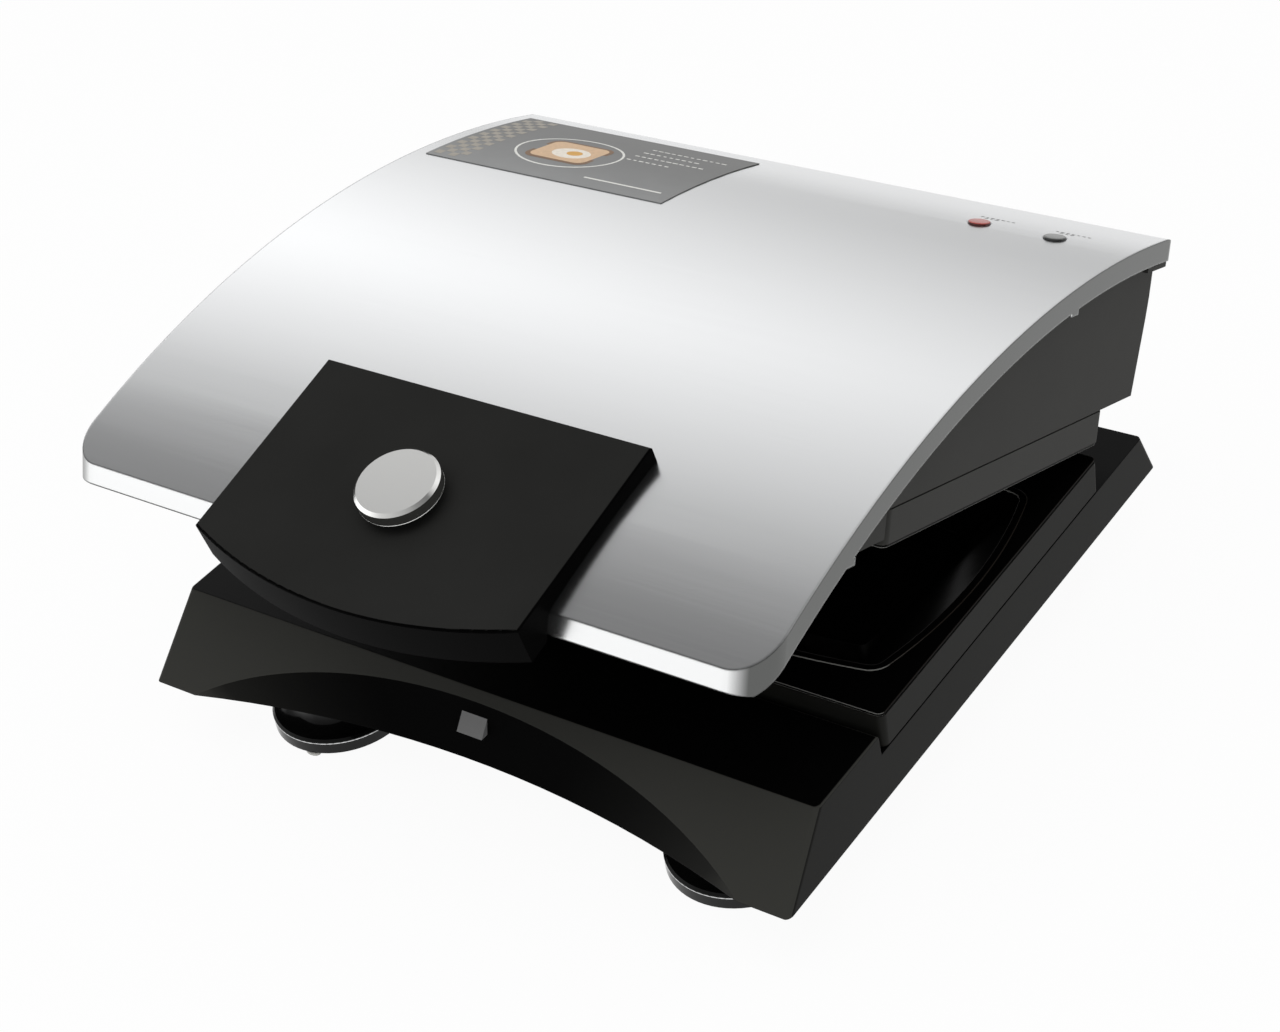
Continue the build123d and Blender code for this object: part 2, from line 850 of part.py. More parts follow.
bush_radius = 6.2
bush_bore = 3.0
bush_out_y = 125.0
with BuildPart() as cord_inlet_bush:
    with BuildSketch(Plane.XZ.offset(-bush_out_y)):
        with Locations((inlet_x, inlet_z)):
            Circle(bush_radius)
    extrude(amount=bush_out_y - rear_edge_y + 3 * base_wall)
    with BuildSketch(Plane.XZ.offset(-bush_out_y)):
        with Locations((inlet_x, inlet_z)):
            Circle(bush_bore)
    extrude(amount=bush_out_y - rear_edge_y + 3 * base_wall, mode=Mode.SUBTRACT)
    add(base_shell.part, mode=Mode.SUBTRACT)

# ================================================================ hinge
bracket_half_width_x = bracket_screw_step + 3.5
bracket_depth = 19.0
bracket_front_y = hinge_y - 8.5
bracket_rear_y = bracket_front_y + bracket_depth
with BuildPart() as hinge_brackets:
    for side in (-1, 1):
        with BuildSketch(Plane.XY.offset(deck_z)):
            with Locations((side * hinge_x, (bracket_front_y + bracket_rear_y) / 2)):
                Rectangle(2 * bracket_half_width_x, bracket_rear_y - bracket_front_y)
        extrude(amount=hinge_plate)
        for ear in (-ear_inner - ear_thickness, ear_inner):
            with BuildSketch(Plane.YZ.offset(side * hinge_x + ear)):
                with Locations((hinge_y, hinge_z)):
                    Circle(ear_radius)
                with Locations((hinge_y, (deck_z + hinge_z) / 2)):
                    Rectangle(2 * ear_radius, hinge_z - deck_z)
            extrude(amount=ear_thickness)
    with BuildSketch(Plane.YZ.offset(-2 * hinge_x)):
        with Locations((hinge_y, hinge_z)):
            Circle(hinge_pin_radius)
    extrude(amount=4 * hinge_x, mode=Mode.SUBTRACT)
    with BuildSketch(Plane.XY.offset(deck_z)):
        with Locations(*bracket_screw_points):
            Circle(screw_radius + screw_play)
    extrude(amount=hinge_plate, mode=Mode.SUBTRACT)

hinge_bracket_screws = screw_set(Plane.XY.offset(deck_z + hinge_plate), bracket_screw_points, hinge_plate + 8.0)

pin_head = 1.2
pin_length = 2 * (ear_inner + ear_thickness)
with BuildPart() as hinge_pins:
    for side in (-1, 1):
        with BuildSketch(Plane.YZ.offset(side * hinge_x - pin_length / 2)):
            with Locations((hinge_y, hinge_z)):
                Circle(hinge_pin_radius)
        extrude(amount=pin_length)
        outer = side * (hinge_x + pin_length / 2)
        with BuildSketch(Plane.YZ.offset(outer)):
            with Locations((hinge_y, hinge_z)):
                Circle(hinge_pin_radius + 1.2)
        extrude(amount=side * pin_head)

arm_screw_step = 11.5
arm_screw_points = [
    (side * hinge_x + step, hinge_y)
    for side in (-1, 1)
    for step in (-arm_screw_step, arm_screw_step)
]
arm_plate_half = arm_screw_step + 3.5
arm_plate_thickness = 3.0
with BuildPart() as lid_hinge_arms:
    for side in (-1, 1):
        with BuildSketch(lid_side.offset(side * hinge_x - knuckle_half_width)):
            with Locations((hinge_y, hinge_z)):
                Circle(knuckle_radius)
            with Locations((hinge_y, (hinge_z + housing_z) / 2)):
                Rectangle(2 * knuckle_radius, housing_z - hinge_z)
        extrude(amount=2 * knuckle_half_width)
        with BuildSketch(level(housing_z)):
            with Locations((side * hinge_x, hinge_y)):
                Rectangle(2 * arm_plate_half, 3 * knuckle_radius)
        extrude(amount=-arm_plate_thickness)
    with BuildSketch(lid_side.offset(-2 * hinge_x)):
        with Locations((hinge_y, hinge_z)):
            Circle(hinge_pin_radius + hinge_play)
    extrude(amount=4 * hinge_x, mode=Mode.SUBTRACT)
    with BuildSketch(level(housing_z)):
        with Locations(*arm_screw_points):
            Circle(screw_radius + screw_play)
    extrude(amount=-arm_plate_thickness, mode=Mode.SUBTRACT)

hinge_arm_screws = screw_set(level_down(housing_z - arm_plate_thickness), arm_screw_points, arm_plate_thickness + 8.0)

# ================================================================ lid cover
cover_middle_y = (cover_front_y + cover_rear_y) / 2
rim_radius = crown_radius - rim_depth
cover_tall = crown_radius + crown_z - cover_front_rim_z + rim_depth


roll_y = cover_rear_y - cover_roll
roll_reach = crown_radius - cover_roll
roll_z = crown_z + math.sqrt(roll_reach**2 - (roll_y - crown_y) ** 2)


def rim_bottom_z(y):
    """Height of the cover's lower edge at a distance along the lid."""
    return crown_z + math.sqrt(rim_radius**2 - (y - crown_y) ** 2)


def cover_outline(inset):
    """The lid cover's plan with rounded corners, larger ones in front, drawn in the active sketch."""
    length = cover_rear_y - cover_front_y - 2 * inset
    with Locations((0, cover_middle_y + cover_tall / 2)):
        RectangleRounded(2 * (cover_half_width - inset), length + cover_tall, cover_corner_radius - inset)
    with Locations((0, cover_middle_y - cover_tall / 2)):
        RectangleRounded(
            2 * (cover_half_width - inset),
            length + cover_tall,
            cover_rear_corner_radius - inset,
            mode=Mode.INTERSECT,
        )


def cover_side(inset):
    """Side view of the lid cover's crown, rolled down at the rear, drawn in the active sketch."""
    with Locations((crown_y, crown_z)):
        Circle(crown_radius - inset)
    Polygon(
        (roll_y, roll_z),
        (roll_y + cover_tall * (roll_y - crown_y) / roll_reach, roll_z + cover_tall * (roll_z - crown_z) / roll_reach),
        (roll_y + cover_tall, roll_z + cover_tall),
        (roll_y + cover_tall, roll_z),
        align=None,
        mode=Mode.SUBTRACT,
    )
    with Locations((roll_y, roll_z)):
        Circle(cover_roll - inset)


with BuildPart() as cover_inside:
    with BuildSketch(level(cover_front_rim_z - rim_depth)):
        cover_outline(sheet)
    extrude(amount=cover_tall + rim_depth)
    with BuildSketch(lid_side.offset(-cover_half_width)):
        cover_side(sheet)
    extrude(amount=2 * cover_half_width, mode=Mode.INTERSECT)

panel_screw_points = [
    (side * panel_screw_x, v)
    for side in (-1, 1)
    for v in (panel_screw_high, panel_screw_low)
]
lamp_points = [(red_lamp_x, lamp_y), (clear_lamp_x, lamp_y)]

with BuildPart() as lid_cover:
    with BuildSketch(level(cover_front_rim_z)):
        cover_outline(0)
    extrude(amount=cover_tall)
    with BuildSketch(lid_side.offset(-cover_half_width)):
        cover_side(0)
        with Locations((crown_y, crown_z)):
            Circle(rim_radius, mode=Mode.SUBTRACT)
    extrude(amount=2 * cover_half_width, mode=Mode.INTERSECT)
    add(cover_inside.part, mode=Mode.SUBTRACT)
    # locating tabs that hang from the side rims
    for side_x in (-cover_half_width, cover_half_width - sheet):
        with BuildSketch(lid_side.offset(side_x)):
            for tab_y in rim_tabs_y:
                with Locations((tab_y, rim_bottom_z(tab_y) - rim_tab_drop / 2 + sheet / 2)):
                    Rectangle(rim_tab_width, rim_tab_drop + sheet)
        extrude(amount=sheet)
    # slot for the button fork and holes for the panel screws and lamps
    with BuildSketch(panel_plane):
        with Locations((0, (window_low + window_high) / 2)):
            Rectangle(2 * window_half_width, window_high - window_low)
        with Locations(*panel_screw_points):
            Circle(screw_radius + screw_play)
    extrude(amount=-2 * panel_skirt, mode=Mode.SUBTRACT)
    with BuildSketch(level(holder_top_z)):
        with Locations(*lamp_points):
            Circle(lens_radius)
    extrude(amount=cover_tall, mode=Mode.SUBTRACT)

# ================================================================ lid housing
bracket_screw_x = 12.2
bracket_screw_v = hook_in_panel[0]
bracket_screw_points_in_panel = [(-bracket_screw_x, bracket_screw_v), (bracket_screw_x, bracket_screw_v)]
column_points = [(holder_low_x + 6.0, lamp_y), (holder_high_x - 6.0, lamp_y)]


def housing_profile(top_radius, inset):
    """Side view of the lid housing under a crown of the given radius, drawn in the active sketch."""
    rear_low = housing_rear_low_y - inset
    rear_high = housing_rear_high_y - inset
    with Locations((crown_y, crown_z)):
        Circle(top_radius)
        Circle(band_radius + inset, mode=Mode.SUBTRACT)
    Polygon(
        (nose_front_y + inset, nose_bottom_z + inset),
        (nose_rear_y - inset, nose_bottom_z + inset),
        (nose_rear_y - inset, housing_z + inset),
        (rear_low, housing_z + inset),
        (rear_high, lip_z),
        (rear_high, lip_z + cover_tall),
        (nose_front_y + inset, lip_z + cover_tall),
        align=None,
    )
    with Locations((crown_y, crown_z)):
        Circle(top_radius, mode=Mode.INTERSECT)
    Polygon(
        (housing_front_y - rim_depth, housing_z - cover_tall),
        (rear_low - cover_tall * rear_lean, housing_z - cover_tall),
        (rear_low, housing_z),
        (rear_high, lip_z),
        (rear_high, lip_z + lip_thickness),
        (rear_high - cover_roll, lip_z + lip_thickness + cover_roll),
        (rear_high - cover_roll, lip_z + cover_tall),
        (housing_front_y - rim_depth, lip_z + cover_tall),
        align=None,
        mode=Mode.INTERSECT,
    )


def housing_outline(inset):
    """The housing's rounded plan, drawn in the active sketch."""
    plan_rear_y = housing_rear_high_y + lip_inset
    with Locations((0, (housing_front_y + plan_rear_y) / 2)):
        RectangleRounded(
            2 * (housing_half_width - inset),
            plan_rear_y - housing_front_y - 2 * inset,
            housing_corner_radius - inset,
        )


rear_lean = (housing_rear_high_y - housing_rear_low_y) / (lip_z - housing_z)
plan_low = level(cover_front_rim_z - rim_depth)
plan_tall = cover_tall + 2 * rim_depth

with BuildPart() as housing_cavity:
    with BuildSketch(lid_side.offset(-cover_half_width)):
        housing_profile(crown_radius + 2 * rim_depth, housing_wall)
    extrude(amount=2 * cover_half_width)
    with BuildSketch(plan_low):
        housing_outline(housing_wall)
    extrude(amount=plan_tall, mode=Mode.INTERSECT)

with BuildPart() as housing_bosses:
    with BuildSketch(panel_plane):
        with Locations(*panel_screw_points, *bracket_screw_points_in_panel):
            Circle(boss_radius)
    extrude(amount=-2 * panel_skirt)
    with BuildSketch(level(housing_z)):
        with Locations(*arm_screw_points):
            Circle(boss_radius)
    extrude(amount=housing_wall + 9.0)
    with BuildSketch(level(housing_z)):
        with Locations(*column_points):
            Circle(boss_radius)
    extrude(amount=holder_bottom_z - housing_z)

with BuildPart() as lid_housing:
    with BuildSketch(lid_side.offset(-cover_half_width)):
        housing_profile(sheet_inner_radius, 0)
    extrude(amount=2 * cover_half_width)
    with BuildSketch(plan_low):
        housing_outline(0)
    extrude(amount=plan_tall, mode=Mode.INTERSECT)
    # lip under the cover's rear rim
    with BuildSketch(level(lip_z)):
        cover_outline(lip_inset)
        with Locations((0, lip_front_y + cover_tall)):
            Rectangle(2 * cover_half_width, 2 * cover_tall, mode=Mode.INTERSECT)
    extrude(amount=lip_thickness)
    add(housing_cavity.part, mode=Mode.SUBTRACT)
    with BuildPart(mode=Mode.PRIVATE) as kept_bosses:
        add(housing_bosses.part)
        with BuildSketch(lid_side.offset(-housing_half_width)):
            housing_profile(sheet_inner_radius, 0)
        extrude(amount=2 * housing_half_width, mode=Mode.INTERSECT)
    add(kept_bosses.part)
    # opening behind the upper plate
    with BuildSketch(level(housing_z)):
        opening_outline(0)
    extrude(amount=housing_wall, mode=Mode.SUBTRACT)
    # slot for the button fork
    with BuildSketch(panel_plane):
        with Locations((0, (window_low + window_high) / 2)):
            Rectangle(2 * window_half_width, window_high - window_low)
        with Locations(*panel_screw_points):
            Circle(screw_radius + screw_play)
        with Locations(*bracket_screw_points_in_panel):
            Circle(screw_radius)
    extrude(amount=-2 * panel_skirt, mode=Mode.SUBTRACT)
    with BuildSketch(level(housing_z)):
        with Locations(*arm_screw_points):
            Circle(screw_radius)
    extrude(amount=8.0, mode=Mode.SUBTRACT)
    with BuildSketch(level(housing_z)):
        with Locations(*stud_points):
            Circle(screw_radius + screw_play)
    extrude(amount=housing_wall, mode=Mode.SUBTRACT)

# ================================================================ latch panel
panel_middle_drop = panel_front_radius - math.sqrt(panel_front_radius**2 - panel_low_half_width**2)


def panel_outline(inset):
    """The latch panel's plan, straight on three sides and bowed in front, drawn in the active sketch."""
    Polygon(
        (-panel_top_half_width + inset, -inset),
        (-panel_low_half_width + inset, -panel_side_length - panel_middle_drop),
        (panel_low_half_width - inset, -panel_side_length - panel_middle_drop),
        (panel_top_half_width - inset, -inset),
        align=None,
    )
    with Locations((0, panel_front_radius - panel_side_length - panel_middle_drop)):
        Circle(panel_front_radius - inset, mode=Mode.INTERSECT)


with BuildPart() as latch_panel:
    with BuildSketch(panel_plane.offset(-panel_skirt)):
        panel_outline(0)
    extrude(amount=panel_skirt)
    panel_face = latch_panel.faces().sort_by(lambda face: panel_plane.to_local_coords(face.center()).Z)[-1]
    fillet(panel_face.edges(), radius=panel_edge_radius)
    with BuildSketch(panel_plane.offset(-panel_skirt)):
        panel_outline(panel_wall)
    extrude(amount=panel_skirt - panel_wall, mode=Mode.SUBTRACT)
    with BuildSketch(panel_plane.offset(-panel_skirt)):
        with Locations(*panel_screw_points):
            Circle(boss_radius)
        with Locations((0, button_v)):
            Circle(collar_radius)
    extrude(amount=panel_skirt - panel_wall / 2)
    with BuildSketch(panel_plane.offset(-panel_skirt)):
        with Locations((0, button_v)):
            Circle(2 * collar_radius)
    extrude(amount=panel_skirt + collar_bottom, mode=Mode.SUBTRACT)
    with BuildSketch(panel_plane.offset(-panel_skirt)):
        with Locations((0, button_v)):
            Circle(stem_radius + stem_play)
    extrude(amount=panel_skirt, mode=Mode.SUBTRACT)
    with BuildSketch(panel_plane.offset(-panel_skirt)):
        with Locations(*panel_screw_points):
            Circle(screw_radius)
    extrude(amount=panel_skirt - panel_wall - 0.5, mode=Mode.SUBTRACT)
    # the underside follows the lid cover
    with BuildSketch(lid_side.offset(-panel_top_half_width)):
        with Locations((crown_y, crown_z)):
            Circle(crown_radius)
        with Locations((cover_front_y - cover_tall, crown_z)):
            Rectangle(2 * cover_tall, 4 * crown_radius, mode=Mode.SUBTRACT)
    extrude(amount=2 * panel_top_half_width, mode=Mode.SUBTRACT)

head_gap = 0.3
panel_screw_seat = crown_height(panel_screw_low, band_radius) - head_gap
latch_panel_screws = screw_set(
    panel_down(panel_screw_seat),
    panel_screw_points,
    -panel_screw_seat - panel_wall - 1.0,
)

# ================================================================ button, stem and fork
pin_reach = hook_in_panel[0] + hook_reach
pin_height = hook_in_panel[1]
fork_low = button_v - stem_radius
fork_high = pin_reach + fork_plate
cap_bottom = button_top - button_thickness
with BuildPart() as latch_button:
    with BuildSketch(panel_plane.offset(cap_bottom)):
        with Locations((0, button_v)):
            Circle(button_radius)
    extrude(amount=button_thickness)
    top_edge = latch_button.edges().group_by(lambda edge: edge.center().Z)[-1]
    chamfer(top_edge, length=button_bevel)
    with BuildSketch(panel_plane.offset(cap_bottom)):
        with Locations((0, button_v)):
            Circle(stem_radius)
    extrude(amount=stem_socket, mode=Mode.SUBTRACT)

spring_top = cap_bottom - 2.0
with BuildPart() as button_stem:
    with BuildSketch(panel_plane.offset(fork_bottom)):
        with Locations((0, button_v)):
            Circle(stem_radius)
    extrude(amount=cap_bottom + stem_socket - fork_bottom)
    with BuildSketch(panel_plane.offset(fork_bottom)):
        with Locations((0, (fork_low + fork_high) / 2)):
            Rectangle(2 * fork_half_width, fork_high - fork_low)
    extrude(amount=fork_top - fork_bottom)
    for side in (-1, 1):
        with BuildSketch(panel_side.offset(side * (fork_half_width - fork_plate / 2) - fork_plate / 2)):
            with Locations((pin_reach, (fork_bottom + pin_height) / 2)):
                Rectangle(2 * fork_plate, fork_bottom - pin_height)
            with Locations((pin_reach, pin_height)):
                Circle(fork_plate)
        extrude(amount=fork_plate)
    with BuildSketch(panel_plane.offset(fork_bottom)):
        with Locations((0, button_v)):
            Circle(stem_bore)
    extrude(amount=spring_top - fork_bottom, mode=Mode.SUBTRACT)
    with BuildSketch(panel_side.offset(-fork_half_width)):
        with Locations((pin_reach, pin_height)):
            Circle(fork_pin_radius)
    extrude(amount=2 * fork_half_width, mode=Mode.SUBTRACT)

with BuildPart() as fork_pin:
    with BuildSketch(panel_side.offset(-fork_half_width)):
        with Locations((pin_reach, pin_height)):
            Circle(fork_pin_radius)
    extrude(amount=2 * fork_half_width)

# ================================================================ latch bracket, hook and pin
ear_inner_x = window_half_width
bracket_ear = 1.8
ear_half = 3.2
bracket_face = crown_height(bracket_split, band_radius)
with BuildPart() as latch_bracket:
    with BuildSketch(panel_side.offset(-bracket_half_width)):
        with Locations(((bracket_low + bracket_high) / 2, bracket_face)):
            Rectangle(bracket_high - bracket_low, 2 * bracket_thickness)
        with Locations(crown_in_panel):
            Circle(band_radius, mode=Mode.INTERSECT)
    extrude(amount=2 * bracket_half_width)
    with BuildSketch(panel_plane):
        with Locations((0, (bracket_split + window_high) / 2)):
            Rectangle(2 * window_half_width, window_high - bracket_split)
    extrude(amount=-2 * panel_skirt, mode=Mode.SUBTRACT)
    for side in (-1, 1):
        with BuildSketch(panel_side.offset(side * (ear_inner_x + bracket_ear / 2) - bracket_ear / 2)):
            with Locations(hook_in_panel):
                Circle(ear_half)
            with Locations((hook_in_panel[0], (hook_in_panel[1] + bracket_face) / 2)):
                Rectangle(2 * ear_half, bracket_face - hook_in_panel[1])
            with Locations(crown_in_panel):
                Circle(band_radius, mode=Mode.INTERSECT)
        extrude(amount=bracket_ear)
    with BuildSketch(panel_side.offset(-bracket_half_width)):
        with Locations(hook_in_panel):
            Circle(hook_pin_radius)
    extrude(amount=2 * bracket_half_width, mode=Mode.SUBTRACT)
    with BuildSketch(panel_plane):
        with Locations(*bracket_screw_points_in_panel):
            Circle(screw_radius + screw_play)
    extrude(amount=-2 * panel_skirt, mode=Mode.SUBTRACT)

hook_pin_length = 2 * (ear_inner_x + bracket_ear)
with BuildPart() as hook_pin:
    with BuildSketch(panel_side.offset(-hook_pin_length / 2)):
        with Locations(hook_in_panel):
            Circle(hook_pin_radius)
    extrude(amount=hook_pin_length)

with BuildPart() as latch_hook:
    # claw arm, hanging in front of the catch
    with BuildSketch(lid_side.offset(-hook_half_width)):
        Polygon(
            (hook_y - hook_boss_radius, hook_z),
            (claw_front_y, claw_bottom_z),
            (claw_tip_y - 0.6, claw_bottom_z),
            (claw_tip_y, claw_bottom_z + 0.8),
            (claw_tip_y, claw_top_z),
            (claw_back_y, claw_top_z),
            (hook_y + hook_boss_radius, hook_z),
            align=None,
        )
        with Locations((hook_y, hook_z)):
            Circle(hook_boss_radius)
    extrude(amount=2 * hook_half_width)
    # drive arm with an open slot
    with BuildSketch(panel_side.offset(-hook_half_width)):
        with Locations((hook_in_panel[0] + hook_arm_end / 2, hook_in_panel[1])):
            Rectangle(hook_arm_end, 2 * hook_arm_half)
    extrude(amount=2 * hook_half_width)
    with BuildSketch(panel_side.offset(-hook_boss_half_width)):
        with Locations(hook_in_panel):
            Circle(hook_boss_radius)
    extrude(amount=2 * hook_boss_half_width)
    with BuildSketch(panel_side.offset(-hook_half_width)):
        with Locations((hook_in_panel[0] + hook_reach + hook_arm_end / 2, hook_in_panel[1])):
            Rectangle(hook_arm_end + 2 * slot_half, 2 * slot_half)
        with Locations((hook_in_panel[0] + hook_reach - slot_half / 2, hook_in_panel[1])):
            Circle(slot_half)
    extrude(amount=2 * hook_half_width, mode=Mode.SUBTRACT)
    with BuildSketch(panel_side.offset(-hook_boss_half_width)):
        with Locations(hook_in_panel):
            Circle(hook_pin_radius + hook_play)
    extrude(amount=2 * hook_boss_half_width, mode=Mode.SUBTRACT)

latch_bracket_screws = screw_set(
    panel_down(bracket_face - bracket_thickness),
    bracket_screw_points_in_panel,
    bracket_thickness + band_depth - sheet,
)

# ================================================================ button spring
spring_radius = 2.3
spring_wire = 0.35
spring_turns = 6
spring_low = bracket_face + spring_wire
spring_height = spring_top - spring_wire - spring_low
with BuildPart() as button_spring:
    coil = Helix(pitch=spring_height / spring_turns, height=spring_height, radius=spring_radius)
    spring_path = Plane(origin=panel_plane.offset(spring_low).from_local_coords((0, button_v, 0)), z_dir=panel_plane.z_dir)
    placed = spring_path.location * coil
    with BuildSketch(Plane(origin=placed @ 0, z_dir=placed % 0)):
        Circle(spring_wire)
    sweep(path=placed)

# ================================================================ lamps
with BuildPart() as lamp_holder:
    with BuildSketch(level(holder_bottom_z)):
        with Locations(((holder_low_x + holder_high_x) / 2, lamp_y)):
            RectangleRounded(holder_high_x - holder_low_x, 2 * holder_half_depth, 2.0)
    extrude(amount=holder_top_z - holder_bottom_z)
    with BuildSketch(level(holder_top_z)):
        with Locations(*lamp_points):
            Circle(lens_radius)
    extrude(amount=-neon_length - 1.0, mode=Mode.SUBTRACT)

with BuildPart() as indicator_neons:
    with BuildSketch(level(holder_top_z - neon_length - 1.0)):
        with Locations(*lamp_points):
            Circle(neon_radius)
    extrude(amount=neon_length)


def lamp_lens(x):
    """An indicator lens with a flange behind the lid cover and a proud rounded cap."""
    with BuildPart() as lens:
        with BuildSketch(level(holder_top_z)):
            with Locations((x, lamp_y)):
                Circle(lens_flange_radius)
        extrude(amount=lens_flange)
        with BuildSketch(level(holder_top_z)):
            with Locations((x, lamp_y)):
                Circle(lens_radius - lens_play)
        extrude(amount=lamp_crown_z + lens_proud - holder_top_z)
        rim = lens.edges().group_by(lambda edge: level(0).to_local_coords(edge.center()).Z)[-1]
        fillet(rim, radius=lens_rounding)
    return lens.part


red_lamp_lens = lamp_lens(red_lamp_x)
clear_lamp_lens = lamp_lens(clear_lamp_x)

# ================================================================ label
with BuildPart() as lid_label:
    with BuildSketch(level(cover_front_rim_z)):
        with Locations(((label_low_x + label_high_x) / 2, (label_low_y + label_high_y) / 2)):
            Rectangle(label_high_x - label_low_x, label_high_y - label_low_y)
    extrude(amount=cover_tall)
    with BuildSketch(lid_side.offset(-cover_half_width)):
        with Locations((crown_y, crown_z)):
            Circle(crown_radius + label_lift + label_thickness)
            Circle(crown_radius + label_lift, mode=Mode.SUBTRACT)
    extrude(amount=2 * cover_half_width, mode=Mode.INTERSECT)

# ================================================================ export
pieces = {
    "base_shell": base_shell.part,
    "bottom_cover": bottom_cover.part,
    "bottom_cover_screws": bottom_cover_screws,
    "feet": feet.part,
    "foot_pads": foot_pads.part,
    "foot_screws": foot_screws,
    "lower_tray": lower_tray.part,
    "lower_cooking_plate": lower_cooking_plate,
    "lower_plate_screws": lower_plate_screws,
    "lower_heating_element": lower_heating_element.part,
    "lower_element_clips": lower_element_clips,
    "lower_heat_reflector": lower_heat_reflector,
    "lower_thermostat": lower_thermostat,
    "lower_thermal_fuse": lower_thermal_fuse,
    "latch_catch": latch_catch.part,
    "terminal_block": terminal_block.part,
    "cord_inlet_bush": cord_inlet_bush.part,
    "hinge_brackets": hinge_brackets.part,
    "hinge_bracket_screws": hinge_bracket_screws,
    "hinge_pins": hinge_pins.part,
    "lid_cover": lid_cover.part,
    "lid_housing": lid_housing.part,
    "lid_hinge_arms": lid_hinge_arms.part,
    "hinge_arm_screws": hinge_arm_screws,
    "upper_tray": upper_tray.part,
    "upper_cooking_plate": upper_cooking_plate,
    "upper_plate_screws": upper_plate_screws,
    "upper_heating_element": upper_heating_element.part,
    "upper_element_clips": upper_element_clips,
    "upper_heat_reflector": upper_heat_reflector,
    "upper_thermostat": upper_thermostat,
    "upper_thermal_fuse": upper_thermal_fuse,
    "lamp_holder": lamp_holder.part,
    "indicator_neons": indicator_neons.part,
    "red_lamp_lens": red_lamp_lens,
    "clear_lamp_lens": clear_lamp_lens,
    "lid_label": lid_label.part,
    "latch_panel": latch_panel.part,
    "latch_panel_screws": latch_panel_screws,
    "latch_bracket": latch_bracket.part,
    "latch_bracket_screws": latch_bracket_screws,
    "hook_pin": hook_pin.part,
    "latch_hook": latch_hook.part,
    "latch_button": latch_button.part,
    "button_stem": button_stem.part,
    "fork_pin": fork_pin.part,
    "button_spring": button_spring.part,
}
for name, piece in pieces.items():
    piece.label = name
    export_step(piece, "parts/" + name + ".step")
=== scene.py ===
import json
import math

import bmesh
import bpy
from bpy.props import FloatProperty, FloatVectorProperty, IntProperty, PointerProperty
from mathutils import Matrix, Vector


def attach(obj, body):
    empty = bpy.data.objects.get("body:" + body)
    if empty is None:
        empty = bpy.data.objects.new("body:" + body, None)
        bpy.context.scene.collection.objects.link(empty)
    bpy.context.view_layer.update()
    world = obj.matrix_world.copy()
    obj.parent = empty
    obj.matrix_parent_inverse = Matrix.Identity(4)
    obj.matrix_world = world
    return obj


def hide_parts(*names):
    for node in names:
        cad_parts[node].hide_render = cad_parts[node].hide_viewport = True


bl_info = {
    "name": "Breakfast sandwich maker",
    "version": (1, 0, 0),
    "blender": (4, 5, 0),
    "location": "View3D > Sidebar > Sandwich maker",
    "description": "Dresses the packed sandwich maker with finishes, prints, trim and a studio",
    "category": "Object",
}

MM = 0.001
# Sizes of the solids, in millimetres. The lid's hinge line and opening, and the crown of its cover.
HINGE = (92.93, 57.2)
LID_OPEN = math.radians(20.5)
CROWN = (99.0, -243.3)
CROWN_RADIUS = 367.7
LABEL_Y = (33.7, 95.3)
LAMP_Y = 76.6
RED_LAMP_X = 75.2
CLEAR_LAMP_X = 102.7
LENS_PROUD = 1.4
# The button: a point of its axis in metres and the way it faces, tilted from straight up.
BUTTON_AXIS = Vector((0.0, -0.10987, 0.12985))
BUTTON_TILT = math.radians(13.62)
BUTTON_BEVEL = 0.6
BUTTON_THICKNESS = 4.7
FOOT = (81.7, 82.9)
FOOT_RIM = (24.2, 5.4)
# The tab of the front left pad: its root, its straight part, its round end and its two heights.
TAB_PLACE = (-77.0, -102.0)
TAB_STRAIGHT = 3.6
TAB_ROUND = 1.4
TAB_ANGLES = (0.0, 0.6, 1.1, 1.57, 2.04, 2.54, 3.14)
TAB_HEIGHTS = (0.1, 1.0)
INK_THICKNESS = 0.05
RULE_THICKNESS = 0.03
PLATE_CENTRE = (-82.0, 62.0)
# Edges of a piece that turn more than this stay sharp.
SHARP_ANGLE = math.radians(30)
# The camera and the soft box, in metres, and the gap that keeps the floor clear of the pads.
CAMERA_PLACE = Vector((0.44, -0.5337, 0.5482))
CAMERA_FORWARD = Vector((-0.5206, 0.6238, -0.583))
CAMERA_RIGHT = Vector((0.8194, 0.557, -0.1356))
SOFT_BOX_SIZE = (1.4, 1.0)
SOFT_BOX_PLACE = Vector((0.1, -0.6, 1.7))
SOFT_BOX_AIM = Vector((0.0, 0.0, 0.05))
FLOOR_GAP = 0.2
# Brightness round the studio, in degrees from straight up towards the rear wall: a dim front,
# one wide soft box over the rear, and a pale wall and floor behind and below.
STUDIO_BAND = (
    (-180, 1.0), (-140, 1.0), (-90, 1.3), (-60, 0.6), (-30, 0.3), (10, 0.2),
    (30, 0.8), (50, 1.2), (70, 0.9), (90, 0.6), (130, 0.4), (180, 1.0),
)

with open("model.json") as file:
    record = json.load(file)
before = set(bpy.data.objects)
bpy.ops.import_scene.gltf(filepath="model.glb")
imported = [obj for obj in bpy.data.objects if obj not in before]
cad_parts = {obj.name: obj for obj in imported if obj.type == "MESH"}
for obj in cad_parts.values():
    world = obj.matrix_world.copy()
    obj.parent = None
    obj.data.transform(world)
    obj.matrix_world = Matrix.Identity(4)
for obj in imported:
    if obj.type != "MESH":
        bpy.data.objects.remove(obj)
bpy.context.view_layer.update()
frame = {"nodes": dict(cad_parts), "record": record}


# ------------------------------------------------------------------ small helpers
def linear(hex_colour):
    """An sRGB hex colour as linear RGBA."""
    values = [int(hex_colour[i : i + 2], 16) / 255 for i in (1, 3, 5)]
    out = [v / 12.92 if v <= 0.04045 else ((v + 0.055) / 1.055) ** 2.4 for v in values]
    return (*out, 1.0)


